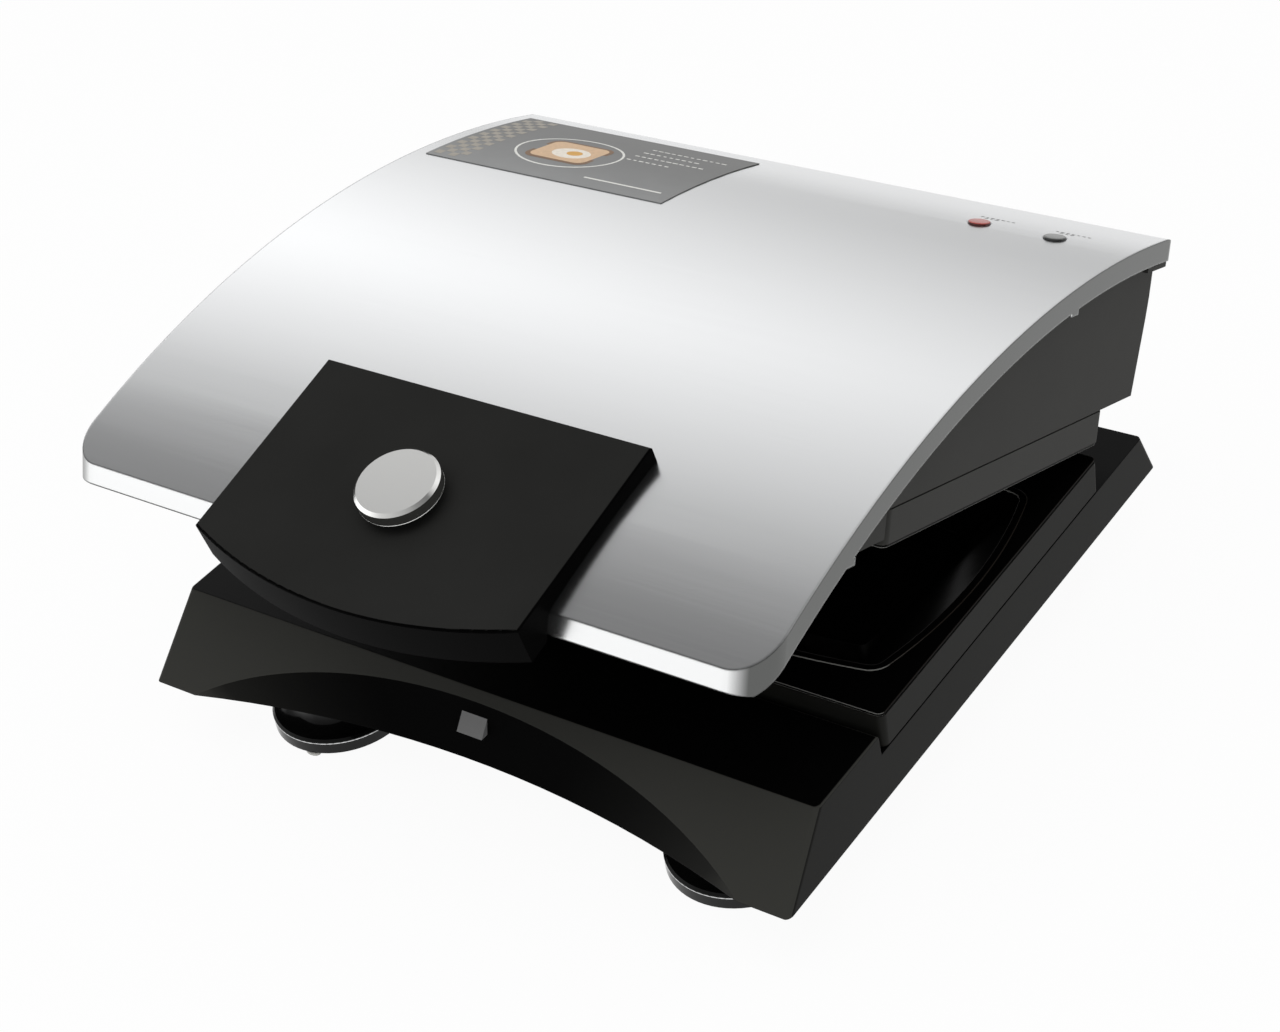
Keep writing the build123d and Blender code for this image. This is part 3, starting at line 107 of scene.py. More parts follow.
def shade(colour, amount):
    """A colour made lighter or darker by a share of itself."""
    return (*(min(1.0, max(0.0, c * amount)) for c in colour[:3]), 1.0)


def open_lid(x, y, z):
    """A point of the closed lid in millimetres, where the open lid holds it, in metres."""
    c, s = math.cos(LID_OPEN), math.sin(LID_OPEN)
    dy, dz = y - HINGE[0], z - HINGE[1]
    return Vector((x, HINGE[0] + c * dy + s * dz, HINGE[1] - s * dy + c * dz)) * MM


def closed_lid(point):
    """A point of the open lid in metres, where the closed lid holds it, in millimetres."""
    c, s = math.cos(LID_OPEN), math.sin(LID_OPEN)
    dy, dz = point.y / MM - HINGE[0], point.z / MM - HINGE[1]
    return point.x / MM, HINGE[0] + c * dy - s * dz, HINGE[1] + s * dy + c * dz


def copy_of(node):
    """A merged copy of a solid's mesh, in place."""
    obj = frame["nodes"][node]
    bm = bmesh.new()
    bm.from_mesh(obj.data)
    bm.transform(obj.matrix_world)
    bmesh.ops.remove_doubles(bm, verts=bm.verts, dist=1e-6)
    return bm


def on_crown(x, y, lift, radius=CROWN_RADIUS):
    """A point that height above the crown, over the closed lid's x and y, on the open lid."""
    rise = math.sqrt(radius**2 - (y - CROWN[0]) ** 2)
    out = (radius + lift) / radius
    return open_lid(x, CROWN[0] + (y - CROWN[0]) * out, CROWN[1] + rise * out)


def add(tree, kind, settings=None, links=None):
    """Adds a node: settings are attributes or input values, links are (node, output) by input."""
    node = tree.nodes.new(kind)
    for key, value in (settings or {}).items():
        if isinstance(key, str) and key.islower() and hasattr(node, key):
            setattr(node, key, value)
        else:
            node.inputs[key].default_value = value
    for key, (source, output) in (links or {}).items():
        tree.links.new(source.outputs[output], node.inputs[key])
    return node


def blank_material(name):
    """A material with an empty tree."""
    material = bpy.data.materials.new(name)
    material.use_nodes = True
    material.node_tree.nodes.clear()
    return material, material.node_tree


def set_stops(ramp, stops):
    """Gives a colour ramp its stops."""
    elements = ramp.color_ramp.elements
    while len(elements) > 1:
        elements.remove(elements[-1])
    for i, (place, colour) in enumerate(stops):
        element = elements[0] if i == 0 else elements.new(place)
        element.position = place
        element.color = colour
    return ramp


def show(tree, shader):
    """Joins a shader to the material's output."""
    add(tree, "ShaderNodeOutputMaterial", None, {"Surface": (shader, 0)})


def bent_part(tree, rounded, start, end):
    """Where a rounded edge turns the surface away from its flat face."""
    true = add(tree, "ShaderNodeNewGeometry")
    alike = add(
        tree,
        "ShaderNodeVectorMath",
        {"operation": "DOT_PRODUCT"},
        {0: (rounded, 0), 1: (true, "Normal")},
    )
    return add(tree, "ShaderNodeMapRange", {"From Min": start, "From Max": end}, {"Value": (alike, "Value")})


def in_scene(obj):
    """Links an object to the scene."""
    bpy.context.scene.collection.objects.link(obj)
    return obj


def smooth(obj):
    """Smooth shading with the sharp edges kept."""
    mesh = obj.data
    mesh.polygons.foreach_set("use_smooth", [True] * len(mesh.polygons))
    mesh.set_sharp_from_angle(angle=SHARP_ANGLE)


def dress(names, finish):
    """Gives CAD pieces one finish, and their shading."""
    for name in names:
        obj = frame["nodes"][name]
        for place in obj.material_slots:
            place.material = finish
        smooth(obj)


def new_piece(name, bm, finish, body, crease=None):
    """Turns a bmesh into a piece that rides on a body, its normals outward and its creases split."""
    bmesh.ops.remove_doubles(bm, verts=bm.verts, dist=1e-7)
    bmesh.ops.recalc_face_normals(bm, faces=bm.faces)
    if crease is not None:
        hard = [e for e in bm.edges if len(e.link_faces) == 2 and e.calc_face_angle() > math.radians(crease)]
        bmesh.ops.split_edges(bm, edges=hard)
    mesh = bpy.data.meshes.new(name)
    bm.to_mesh(mesh)
    bm.free()
    mesh.materials.append(finish)
    obj = in_scene(bpy.data.objects.new(name, mesh))
    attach(obj, body)
    return obj


# ------------------------------------------------------------------ finishes
def moulded_plastic(name, colour, roughness, specular, grain_mm=0.6, depth_mm=0.012, painted_wall_shade=None, edge_mm=0.0):
    """Injection-moulded plastic: spark-eroded grain breaks the gloss into a soft satin sheen.

    The wall shade is a painted shade: a darker colour on faces square to the top, for the shade that they lie
    in.
    """
    material, tree = blank_material(name)
    where = add(tree, "ShaderNodeTexCoord")
    # Moulding blotches of about 40 mm, just enough to keep wide faces from looking flat.
    blotch = add(tree, "ShaderNodeTexNoise", {"Scale": 25.0, "Detail": 3.0}, {"Vector": (where, "Object")})
    tone = add(tree, "ShaderNodeValToRGB", None, {"Fac": (blotch, 0)})
    set_stops(tone, [(0.3, shade(colour, 0.9)), (0.75, shade(colour, 1.1))])
    # Painted shade: faces square to the top take the wall shade colour instead of the tone.
    if painted_wall_shade is not None:
        facing = add(tree, "ShaderNodeSeparateXYZ", None, {"Vector": (where, "Normal")})
        upward = add(
            tree,
            "ShaderNodeMapRange",
            {"From Min": 0.8, "From Max": 0.92},
            {"Value": (facing, "Z")},
        )
        tone = add(tree, "ShaderNodeMixRGB", {"Color1": painted_wall_shade}, {"Fac": (upward, 0), "Color2": (tone, 0)})
    gloss = add(
        tree,
        "ShaderNodeMapRange",
        {"To Min": roughness - 0.03, "To Max": roughness + 0.03},
        {"Value": (blotch, 0)},
    )
    # The grain itself is about 0.1 mm, drawn coarser so that it shows.
    grains = add(
        tree,
        "ShaderNodeTexNoise",
        {"Scale": 1000 / grain_mm, "Detail": 2.0},
        {"Vector": (where, "Object")},
    )
    relief = add(
        tree,
        "ShaderNodeBump",
        {"Strength": 0.3, "Distance": depth_mm * MM},
        {"Height": (grains, 0)},
    )
    shader = add(
        tree,
        "ShaderNodeBsdfPrincipled",
        {"Specular IOR Level": specular},
        {"Base Color": (tone, 0), "Roughness": (gloss, 0), "Normal": (relief, 0)},
    )
    if edge_mm:
        edge = add(tree, "ShaderNodeBevel", {"samples": 6, "Radius": edge_mm * MM})
        tree.links.new(edge.outputs[0], relief.inputs["Normal"])
    show(tree, shader)
    return material


def base_plastic(name, side, slope, painted_arch_shade, top, roughness, specular, edge_mm):
    """The base's ABS: satin outer faces, a painted lighter tone on the sloping front, and painted shade in
    the matt arch and on the top land.
    """
    material, tree = blank_material(name)
    where = add(tree, "ShaderNodeTexCoord")
    facing = add(tree, "ShaderNodeSeparateXYZ", None, {"Vector": (where, "Normal")})
    upward = add(tree, "ShaderNodeMapRange", {"From Min": 0.9, "From Max": 0.97}, {"Value": (facing, "Z")})
    leaning = add(tree, "ShaderNodeMapRange", {"From Min": 0.36, "From Max": 0.41}, {"Value": (facing, "Z")})
    forward = add(tree, "ShaderNodeMapRange", {"From Min": -0.9, "From Max": -0.96}, {"Value": (facing, "Y")})
    blotch = add(tree, "ShaderNodeTexNoise", {"Scale": 25.0, "Detail": 3.0}, {"Vector": (where, "Object")})
    tone = add(tree, "ShaderNodeValToRGB", None, {"Fac": (blotch, 0)})
    set_stops(tone, [(0.3, shade(side, 0.92)), (0.75, shade(side, 1.08))])
    # Painted light and shade by facing: near black in the arch, a lighter tone on the sloping front, near
    # black on the top land.
    arch = add(tree, "ShaderNodeMixRGB", {"Color2": painted_arch_shade}, {"Fac": (forward, 0), "Color1": (tone, 0)})
    front = add(tree, "ShaderNodeMixRGB", {"Color2": slope}, {"Fac": (leaning, 0), "Color1": (arch, 0)})
    land = add(tree, "ShaderNodeMixRGB", {"Color2": top}, {"Fac": (upward, 0), "Color1": (front, 0)})
    matt = add(
        tree,
        "ShaderNodeMapRange",
        {"To Min": roughness, "To Max": 0.95},
        {"Value": (forward, 0)},
    )
    # The grain is about 0.1 mm, drawn at 0.6 mm so that it shows.
    grains = add(tree, "ShaderNodeTexNoise", {"Scale": 1600.0, "Detail": 2.0}, {"Vector": (where, "Object")})
    edge = add(tree, "ShaderNodeBevel", {"samples": 6, "Radius": edge_mm * MM})
    relief = add(
        tree,
        "ShaderNodeBump",
        {"Strength": 0.3, "Distance": 0.012 * MM},
        {"Height": (grains, 0), "Normal": (edge, 0)},
    )
    shader = add(
        tree,
        "ShaderNodeBsdfPrincipled",
        {"Specular IOR Level": specular},
        {"Base Color": (land, 0), "Roughness": (matt, 0), "Normal": (relief, 0)},
    )
    show(tree, shader)
    return material


def brushed_sheet(name, colour, roughness, spread, fold_mm, sides=None, front=None):
    """Brushed stainless sheet: streaks along X too fine to tell apart, that soften what it mirrors."""
    material, tree = blank_material(name)
    where = add(tree, "ShaderNodeTexCoord")
    # Brushing scratches are some 0.05 mm apart, drawn at 0.8 mm so that a trace of them shows.
    stretch = add(tree, "ShaderNodeMapping", {"Scale": (9.0, 1250.0, 1250.0)}, {"Vector": (where, "Object")})
    streaks = add(tree, "ShaderNodeTexNoise", {"Scale": 1.0, "Detail": 2.0}, {"Vector": (stretch, 0)})
    tone = add(tree, "ShaderNodeValToRGB", None, {"Fac": (streaks, 0)})
    set_stops(tone, [(0.2, shade(colour, 1 - spread)), (0.8, shade(colour, 1 + spread))])
    gloss = add(
        tree,
        "ShaderNodeMapRange",
        {"To Min": roughness - 0.02, "To Max": roughness + 0.02},
        {"Value": (streaks, 0)},
    )
    # The fold has a small radius, which mirrors the dark side of the studio as a thin line.
    fold = add(tree, "ShaderNodeBevel", {"samples": 8, "Radius": fold_mm * MM})
    if sides is not None:
        # A painted highlight turns the front rim near white, and a painted shade turns the side rims dull
        # grey.
        facing = add(tree, "ShaderNodeSeparateXYZ", None, {"Vector": (where, "Normal")})
        ahead = add(
            tree,
            "ShaderNodeMapRange",
            {"From Min": -0.8, "From Max": -0.95},
            {"Value": (facing, "Y")},
        )
        painted_front_highlight = add(tree, "ShaderNodeMixRGB", {"Color2": front}, {"Fac": (ahead, 0), "Color1": (tone, 0)})
        outward = add(tree, "ShaderNodeMath", {"operation": "ABSOLUTE"}, {0: (facing, "X")})
        beside = add(tree, "ShaderNodeMapRange", {"From Min": 0.15, "From Max": 0.6}, {"Value": (outward, 0)})
        tone = add(tree, "ShaderNodeMixRGB", {"Color2": sides}, {"Fac": (beside, 0), "Color1": (painted_front_highlight, 0)})
        # Along the front fold a painted near-black line stands for the dark side of the studio that the fold
        # mirrors.
        bent = bent_part(tree, fold, 0.995, 0.95)
        lean = add(tree, "ShaderNodeSeparateXYZ", None, {"Vector": (fold, 0)})
        aside = add(tree, "ShaderNodeMath", {"operation": "ABSOLUTE"}, {0: (lean, "X")})
        kept = add(
            tree,
            "ShaderNodeMapRange",
            {"From Min": 0.1, "From Max": 0.5, "To Min": 1.0, "To Max": 0.0},
            {"Value": (aside, 0)},
        )
        line = add(tree, "ShaderNodeMath", {"operation": "MULTIPLY"}, {0: (bent, 0), 1: (kept, 0)})
        tone = add(
            tree,
            "ShaderNodeMixRGB",
            {"Color2": linear("#060606")},
            {"Fac": (line, 0), "Color1": (tone, 0)},
        )
    shader = add(
        tree,
        "ShaderNodeBsdfPrincipled",
        {"Metallic": 1.0},
        {"Base Color": (tone, 0), "Roughness": (gloss, 0), "Normal": (fold, 0)},
    )
    show(tree, shader)
    return material


def bright_metal(name, colour, roughness, edge_mm=0.0):
    """Plated, drawn or polished metal: clear reflections with faint handling marks in the gloss."""
    material, tree = blank_material(name)
    where = add(tree, "ShaderNodeTexCoord")
    # Handling marks of about 3 mm.
    marks = add(tree, "ShaderNodeTexNoise", {"Scale": 320.0, "Detail": 4.0}, {"Vector": (where, "Object")})
    gloss = add(
        tree,
        "ShaderNodeMapRange",
        {"To Min": max(0.03, roughness - 0.03), "To Max": roughness + 0.03},
        {"Value": (marks, 0)},
    )
    shader = add(
        tree,
        "ShaderNodeBsdfPrincipled",
        {"Metallic": 1.0, "Base Color": colour},
        {"Roughness": (gloss, 0)},
    )
    if edge_mm:
        edge = add(tree, "ShaderNodeBevel", {"samples": 8, "Radius": edge_mm * MM})
        tree.links.new(edge.outputs[0], shader.inputs["Normal"])
    show(tree, shader)
    return material


def nonstick_coating(name, colour, roughness, edge_mm, side_edge_highlight, front_edge_highlight):
    """Sprayed non-stick on die-cast aluminium: deep black gloss, rounded edges that catch the light."""
    material, tree = blank_material(name)
    where = add(tree, "ShaderNodeTexCoord")
    edge = add(tree, "ShaderNodeBevel", {"samples": 6, "Radius": edge_mm * MM})
    # Orange peel of about 2.5 mm.
    peel = add(tree, "ShaderNodeTexNoise", {"Scale": 420.0, "Detail": 2.0}, {"Vector": (where, "Object")})
    relief = add(
        tree,
        "ShaderNodeBump",
        {"Strength": 0.25, "Distance": 0.02 * MM},
        {"Height": (peel, 0), "Normal": (edge, 0)},
    )
    # Edges get a painted highlight in a lighter tone, most of all those at the front.
    bent = bent_part(tree, edge, 0.97, 0.86)
    lean = add(tree, "ShaderNodeSeparateXYZ", None, {"Vector": (edge, 0)})
    ahead = add(tree, "ShaderNodeMapRange", {"From Min": -0.12, "From Max": -0.4}, {"Value": (lean, "Y")})
    painted_edge_highlight = add(tree, "ShaderNodeMixRGB", {"Color1": side_edge_highlight, "Color2": front_edge_highlight}, {"Fac": (ahead, 0)})
    tone = add(tree, "ShaderNodeMixRGB", {"Color1": colour}, {"Fac": (bent, 0), "Color2": (painted_edge_highlight, 0)})
    shader = add(
        tree,
        "ShaderNodeBsdfPrincipled",
        {"Roughness": roughness, "Specular IOR Level": 0.02},
        {"Base Color": (tone, 0), "Normal": (relief, 0)},
    )
    show(tree, shader)
    return material


def tinted_lens(name, colour, roughness, clearness, painted_wall_shade=None):
    """Moulded polycarbonate lens: glossy and a little cloudy, so that it shows its own tint."""
    material, tree = blank_material(name)
    where = add(tree, "ShaderNodeTexCoord")
    # Clouding of about 4 mm.
    cloud = add(tree, "ShaderNodeTexNoise", {"Scale": 260.0, "Detail": 2.0}, {"Vector": (where, "Object")})
    tone = add(tree, "ShaderNodeValToRGB", None, {"Fac": (cloud, 0)})
    set_stops(tone, [(0.2, shade(colour, 0.85)), (0.8, colour)])
    if painted_wall_shade is not None:
        # Seen from the side, the lens gets a painted shade for the dark hole that it stands in.
        facing = add(tree, "ShaderNodeSeparateXYZ", None, {"Vector": (where, "Normal")})
        upward = add(
            tree,
            "ShaderNodeMapRange",
            {"From Min": 0.55, "From Max": 0.85},
            {"Value": (facing, "Z")},
        )
        tone = add(tree, "ShaderNodeMixRGB", {"Color1": painted_wall_shade}, {"Fac": (upward, 0), "Color2": (tone, 0)})
    shader = add(
        tree,
        "ShaderNodeBsdfPrincipled",
        {"Roughness": roughness, "IOR": 1.58, "Transmission Weight": clearness},
        {"Base Color": (tone, 0)},
    )
    show(tree, shader)
    return material


def printed_ink(name, colour):
    """Screen-printed ink: flat and even, with a trace of mottling where it is thin."""
    material, tree = blank_material(name)
    where = add(tree, "ShaderNodeTexCoord")
    # Mottling of about 1.4 mm.
    mottle = add(tree, "ShaderNodeTexNoise", {"Scale": 700.0, "Detail": 2.0}, {"Vector": (where, "Object")})
    tone = add(tree, "ShaderNodeValToRGB", None, {"Fac": (mottle, 0)})
    set_stops(tone, [(0.3, shade(colour, 0.93)), (0.7, shade(colour, 1.05))])
    shader = add(
        tree,
        "ShaderNodeBsdfPrincipled",
        {"Roughness": 0.45, "Specular IOR Level": 0.3},
        {"Base Color": (tone, 0)},
    )
    show(tree, shader)
    return material


def label_film(name, front, rear):
    """Printed polyester film: glossy grey, its print fading darker from front to rear."""
    material, tree = blank_material(name)
    where = add(tree, "ShaderNodeTexCoord")
    split = add(tree, "ShaderNodeSeparateXYZ", None, {"Vector": (where, "Object")})
    low, high = on_crown(0, LABEL_Y[0], 0).y, on_crown(0, LABEL_Y[1], 0).y
    fade = add(tree, "ShaderNodeMapRange", {"From Min": low, "From Max": high}, {"Value": (split, "Y")})
    tone = add(tree, "ShaderNodeValToRGB", None, {"Fac": (fade, 0)})
    set_stops(tone, [(0.0, front), (1.0, rear)])
    # Soft cloud in the print, about 10 mm across.
    cloud = add(tree, "ShaderNodeTexNoise", {"Scale": 90.0, "Detail": 3.0}, {"Vector": (where, "Object")})
    depth = add(tree, "ShaderNodeMapRange", {"To Min": 0.88, "To Max": 1.12}, {"Value": (cloud, 0)})
    print_tone = add(
        tree,
        "ShaderNodeVectorMath",
        {"operation": "SCALE"},
        {0: (tone, 0), "Scale": (depth, 0)},
    )
    shader = add(
        tree,
        "ShaderNodeBsdfPrincipled",
        {"Roughness": 0.3, "Specular IOR Level": 0.5},
        {"Base Color": (print_tone, 0)},
    )
    show(tree, shader)
    return material


# ------------------------------------------------------------------ repeated marks
def blank_tree(name, inputs):
    """An empty Geometry Nodes tree with these inputs, and the node that gives them."""
    tree = bpy.data.node_groups.new(name, "GeometryNodeTree")
    for label, kind in (("Geometry", "Geometry"), *inputs):
        tree.interface.new_socket(label, in_out="INPUT", socket_type="NodeSocket" + kind)
    tree.interface.new_socket("Geometry", in_out="OUTPUT", socket_type="NodeSocketGeometry")
    return tree, add(tree, "NodeGroupInput")


def marks_tree():
    """Geometry Nodes for one straight row of printed bars, of uneven or equal lengths."""
    floats = [(label, "Float") for label in ("Pitch", "Length", "Width", "Thickness", "Shortest")]
    tree, given = blank_tree(
        "row_of_marks",
        [("Count", "Int"), *floats, ("Seed", "Int"), ("Ink", "Material")],
    )
    step = add(tree, "ShaderNodeCombineXYZ", None, {"X": (given, "Pitch")})
    line = add(tree, "GeometryNodeMeshLine", None, {"Count": (given, "Count"), "Offset": (step, 0)})
    size = add(
        tree,
        "ShaderNodeCombineXYZ",
        None,
        {"X": (given, "Length"), "Y": (given, "Width"), "Z": (given, "Thickness")},
    )
    bar = add(tree, "GeometryNodeMeshCube", None, {"Size": (size, 0)})
    least = add(tree, "ShaderNodeCombineXYZ", {"Y": 1.0, "Z": 1.0}, {"X": (given, "Shortest")})
    uneven = add(
        tree,
        "FunctionNodeRandomValue",
        {"data_type": "FLOAT_VECTOR"},
        {"Min": (least, 0), "Seed": (given, "Seed")},
    )
    uneven.inputs["Max"].default_value = (1.0, 1.0, 1.0)
    bars = add(
        tree,
        "GeometryNodeInstanceOnPoints",
        None,
        {"Points": (line, "Mesh"), "Instance": (bar, "Mesh"), "Scale": (uneven, 0)},
    )
    whole = add(tree, "GeometryNodeRealizeInstances", None, {"Geometry": (bars, 0)})
    inked = add(tree, "GeometryNodeSetMaterial", None, {"Geometry": (whole, 0), "Material": (given, "Ink")})
    add(tree, "NodeGroupOutput", None, {"Geometry": (inked, 0)})
    return tree


def rings_tree():
    """Geometry Nodes for one thin ring round each of the four feet."""
    floats = [(label, "Float") for label in ("Width", "Depth", "Radius", "Wire", "Height")]
    tree, given = blank_tree("foot_rings", [*floats, ("Finish", "Material")])
    corners = add(
        tree,
        "GeometryNodeMeshGrid",
        {"Vertices X": 2, "Vertices Y": 2},
        {"Size X": (given, "Width"), "Size Y": (given, "Depth")},
    )
    circle = add(tree, "GeometryNodeCurvePrimitiveCircle", {"Resolution": 96}, {"Radius": (given, "Radius")})
    wire = add(tree, "GeometryNodeCurvePrimitiveCircle", {"Resolution": 8}, {"Radius": (given, "Wire")})
    ring = add(
        tree,
        "GeometryNodeCurveToMesh",
        None,
        {"Curve": (circle, "Curve"), "Profile Curve": (wire, "Curve")},
    )
    rings = add(
        tree,
        "GeometryNodeInstanceOnPoints",
        None,
        {"Points": (corners, "Mesh"), "Instance": (ring, "Mesh")},
    )
    rise = add(tree, "ShaderNodeCombineXYZ", None, {"Z": (given, "Height")})
    placed = add(
        tree,
        "GeometryNodeTranslateInstances",
        None,
        {"Instances": (rings, 0), "Translation": (rise, 0)},
    )
    whole = add(tree, "GeometryNodeRealizeInstances", None, {"Geometry": (placed, 0)})
    plated = add(
        tree,
        "GeometryNodeSetMaterial",
        None,
        {"Geometry": (whole, 0), "Material": (given, "Finish")},
    )
    add(tree, "NodeGroupOutput", None, {"Geometry": (plated, 0)})
    return tree


def run_tree(tree, values):
    """The plain mesh that a tree gives with these inputs, set by the sockets' identifiers."""
    holder = in_scene(bpy.data.objects.new("holder", bpy.data.meshes.new("holder")))
    modifier = holder.modifiers.new("tree", "NODES")
    modifier.node_group = tree
    for item in tree.interface.items_tree:
        if item.in_out == "INPUT" and item.name in values:
            modifier[item.identifier] = values[item.name]
    seen = holder.evaluated_get(bpy.context.evaluated_depsgraph_get())
    mesh = bpy.data.meshes.new_from_object(seen)
    holder.modifiers.remove(modifier)
    bpy.data.objects.remove(holder)
    return mesh


def add_marks(bm, tree, place, radius, **values):
    """Runs the row tree once and lays its bars on the crown, from a point of the closed lid."""
    mesh = run_tree(tree, values)
    for vertex in mesh.vertices:
        x, y, z = vertex.co
        vertex.co = on_crown(place[0] + x, place[1] + y, z, radius)
    bm.from_mesh(mesh)
    bpy.data.meshes.remove(mesh)


def add_patch(bm, rows, high, radius):
    """A thin printed patch on the crown, from rows of (y, left x, right x) on the closed lid."""
    ring = []
    for y, left, right in rows:
        right = max(right, left + 0.02)
        corners = ((left, 0.0), (right, 0.0), (right, high), (left, high))
        ring.append([bm.verts.new(on_crown(x, y, lift, radius)) for x, lift in corners])
    for a, b in zip(ring, ring[1:]):
        for i in range(4):
            bm.faces.new((a[i], a[(i + 1) % 4], b[(i + 1) % 4], b[i]))
    bm.faces.new(ring[0])
    bm.faces.new(ring[-1])


def add_torus(bm, radius, wire, steps=72, sides=8):
    """A round ring of wire about the origin."""
    loops = []
    for i in range(steps):
        a = 2 * math.pi * i / steps
        loops.append([])
        for j in range(sides):
            b = 2 * math.pi * j / sides
            out = radius + wire * math.cos(b)
            loops[-1].append(bm.verts.new((out * math.cos(a), out * math.sin(a), wire * math.sin(b))))
    for i in range(steps):
        here, there = loops[i], loops[(i + 1) % steps]
        for j in range(sides):
            k = (j + 1) % sides
            bm.faces.new((here[j], there[j], there[k], here[k]))


def disc_rows(x, y, across, along, steps=16):
    """Rows of an ellipse."""
    rows = []
    for i in range(steps + 1):
        angle = math.pi * i / steps - math.pi / 2
        half = across * math.cos(angle)
        rows.append((y + along * math.sin(angle), x - half, x + half))
    return rows


def slab_rows(x, y, across, along, corner, steps=6):
    """Rows of a rectangle with round corners, from its centre and half sizes."""
    rows = []
    for i in range(steps + 1):
        angle = math.pi / 2 * i / steps
        half = across - corner + corner * math.sin(angle)
        rows.append((y - along + corner * (1 - math.cos(angle)), x - half, x + half))
    return rows + [(2 * y - v, a, b) for v, a, b in reversed(rows)]


# ------------------------------------------------------------------ stage
def make_world(settings):
    """White to the camera and through glass, and a soft studio band in what metal mirrors."""
    world = bpy.data.worlds.new("studio")
    bpy.context.scene.world = world
    world.use_nodes = True
    tree = world.node_tree
    tree.nodes.clear()
    where = add(tree, "ShaderNodeTexCoord")
    split = add(tree, "ShaderNodeSeparateXYZ", None, {"Vector": (where, "Generated")})
    turn = add(tree, "ShaderNodeMath", {"operation": "ARCTAN2"}, {0: (split, "Y"), 1: (split, "Z")})
    place = add(
        tree,
        "ShaderNodeMapRange",
        {"From Min": -math.pi, "From Max": math.pi},
        {"Value": (turn, 0)},
    )
    ramp = add(tree, "ShaderNodeValToRGB", None, {"Fac": (place, 0)})
    set_stops(ramp, [((a + 180) / 360, (v, v, v, 1)) for a, v in STUDIO_BAND])
    # The left of the studio is a little brighter than the right.
    across = add(
        tree,
        "ShaderNodeMapRange",
        {"From Min": -0.75, "From Max": -0.3, "To Min": 1.25, "To Max": 0.75},
        {"Value": (split, "X")},
    )
    level = add(tree, "ShaderNodeVectorMath", {"operation": "SCALE"}, {0: (ramp, 0), "Scale": (across, 0)})
    mirrored = add(tree, "ShaderNodeBackground", {"Strength": settings.reflection}, {"Color": (level, 0)})
    around = add(tree, "ShaderNodeBackground", {"Color": (1, 1, 1, 1), "Strength": settings.ambient})
    white = add(tree, "ShaderNodeBackground", {"Color": (1, 1, 1, 1), "Strength": 1.0})
    path = add(tree, "ShaderNodeLightPath")
    lit = add(
        tree,
        "ShaderNodeMixShader",
        None,
        {0: (path, "Is Glossy Ray"), 1: (around, 0), 2: (mirrored, 0)},
    )
    seen = add(
        tree,
        "ShaderNodeMath",
        {"operation": "ADD", "use_clamp": True},
        {0: (path, "Is Camera Ray"), 1: (path, "Is Transmission Ray")},
    )
    final = add(tree, "ShaderNodeMixShader", None, {0: (seen, 0), 1: (lit, 0), 2: (white, 0)})
    add(tree, "ShaderNodeOutputWorld", None, {"Surface": (final, 0)})


def make_floor(settings):
    """A plain pale floor that reads as white and keeps a trace of the object's shadow."""
    material, tree = blank_material("white_painted_board")
    board = add(tree, "ShaderNodeBsdfDiffuse", {"Color": linear("#f2f2f2")})
    glow = add(tree, "ShaderNodeEmission", {"Color": (1, 1, 1, 1), "Strength": 1.0})
    bright = add(tree, "ShaderNodeMixShader", {0: settings.floor_white}, {1: (board, 0), 2: (glow, 0)})
    path = add(tree, "ShaderNodeLightPath")
    first = add(
        tree,
        "ShaderNodeMath",
        {"operation": "ADD", "use_clamp": True},
        {0: (path, "Is Camera Ray"), 1: (path, "Is Glossy Ray")},
    )
    seen = add(
        tree,
        "ShaderNodeMath",
        {"operation": "ADD", "use_clamp": True},
        {0: (first, 0), 1: (path, "Is Transmission Ray")},
    )
    top = add(tree, "ShaderNodeMixShader", None, {0: (seen, 0), 1: (board, 0), 2: (bright, 0)})
    # From below the floor is clear, so that the underside of the object can be looked at.
    side = add(tree, "ShaderNodeNewGeometry")
    clear = add(tree, "ShaderNodeBsdfTransparent")
    final = add(tree, "ShaderNodeMixShader", None, {0: (side, "Backfacing"), 1: (top, 0), 2: (clear, 0)})
    show(tree, final)
    bm = bmesh.new()
    bmesh.ops.create_grid(bm, x_segments=1, y_segments=1, size=settings.floor_size / 2)
    bmesh.ops.translate(bm, verts=bm.verts, vec=(0, 0, -FLOOR_GAP * MM))
    mesh = bpy.data.meshes.new("floor")
    bm.to_mesh(mesh)
    bm.free()
    mesh.materials.append(material)
    in_scene(bpy.data.objects.new("floor", mesh))


def make_camera(settings):
    """The camera, three quarters from the right front and above."""
    data = bpy.data.cameras.new("camera")
    camera = in_scene(bpy.data.objects.new("camera", data))
    forward = CAMERA_FORWARD.normalized()
    right = (CAMERA_RIGHT - forward * CAMERA_RIGHT.dot(forward)).normalized()
    up = right.cross(forward)
    turn = Matrix((right, up, -forward)).transposed()
    camera.matrix_world = Matrix.Translation(CAMERA_PLACE) @ turn.to_4x4()
    data.sensor_width = 36.0
    data.sensor_fit = "HORIZONTAL"
    data.lens = settings.lens
    data.clip_start = 0.01
    data.clip_end = 60.0
    bpy.context.scene.camera = camera


def make_soft_box(settings):
    """One large overhead soft box that gives the plastics their shape."""
    data = bpy.data.lights.new("soft_box", "AREA")
    data.shape = "RECTANGLE"
    data.size, data.size_y = SOFT_BOX_SIZE
    data.energy = settings.key_power
    light = in_scene(bpy.data.objects.new("soft_box", data))
    light.location = SOFT_BOX_PLACE
    light.rotation_euler = (SOFT_BOX_AIM - SOFT_BOX_PLACE).to_track_quat("-Z", "Y").to_euler()
    light.visible_glossy = False


# ------------------------------------------------------------------ settings
def colour_of(label, about, default):
    """A colour property with its default as sRGB hex."""
    return FloatVectorProperty(
        name=label, description=about, subtype="COLOR", size=4, min=0.0, max=1.0, default=linear(default)
    )


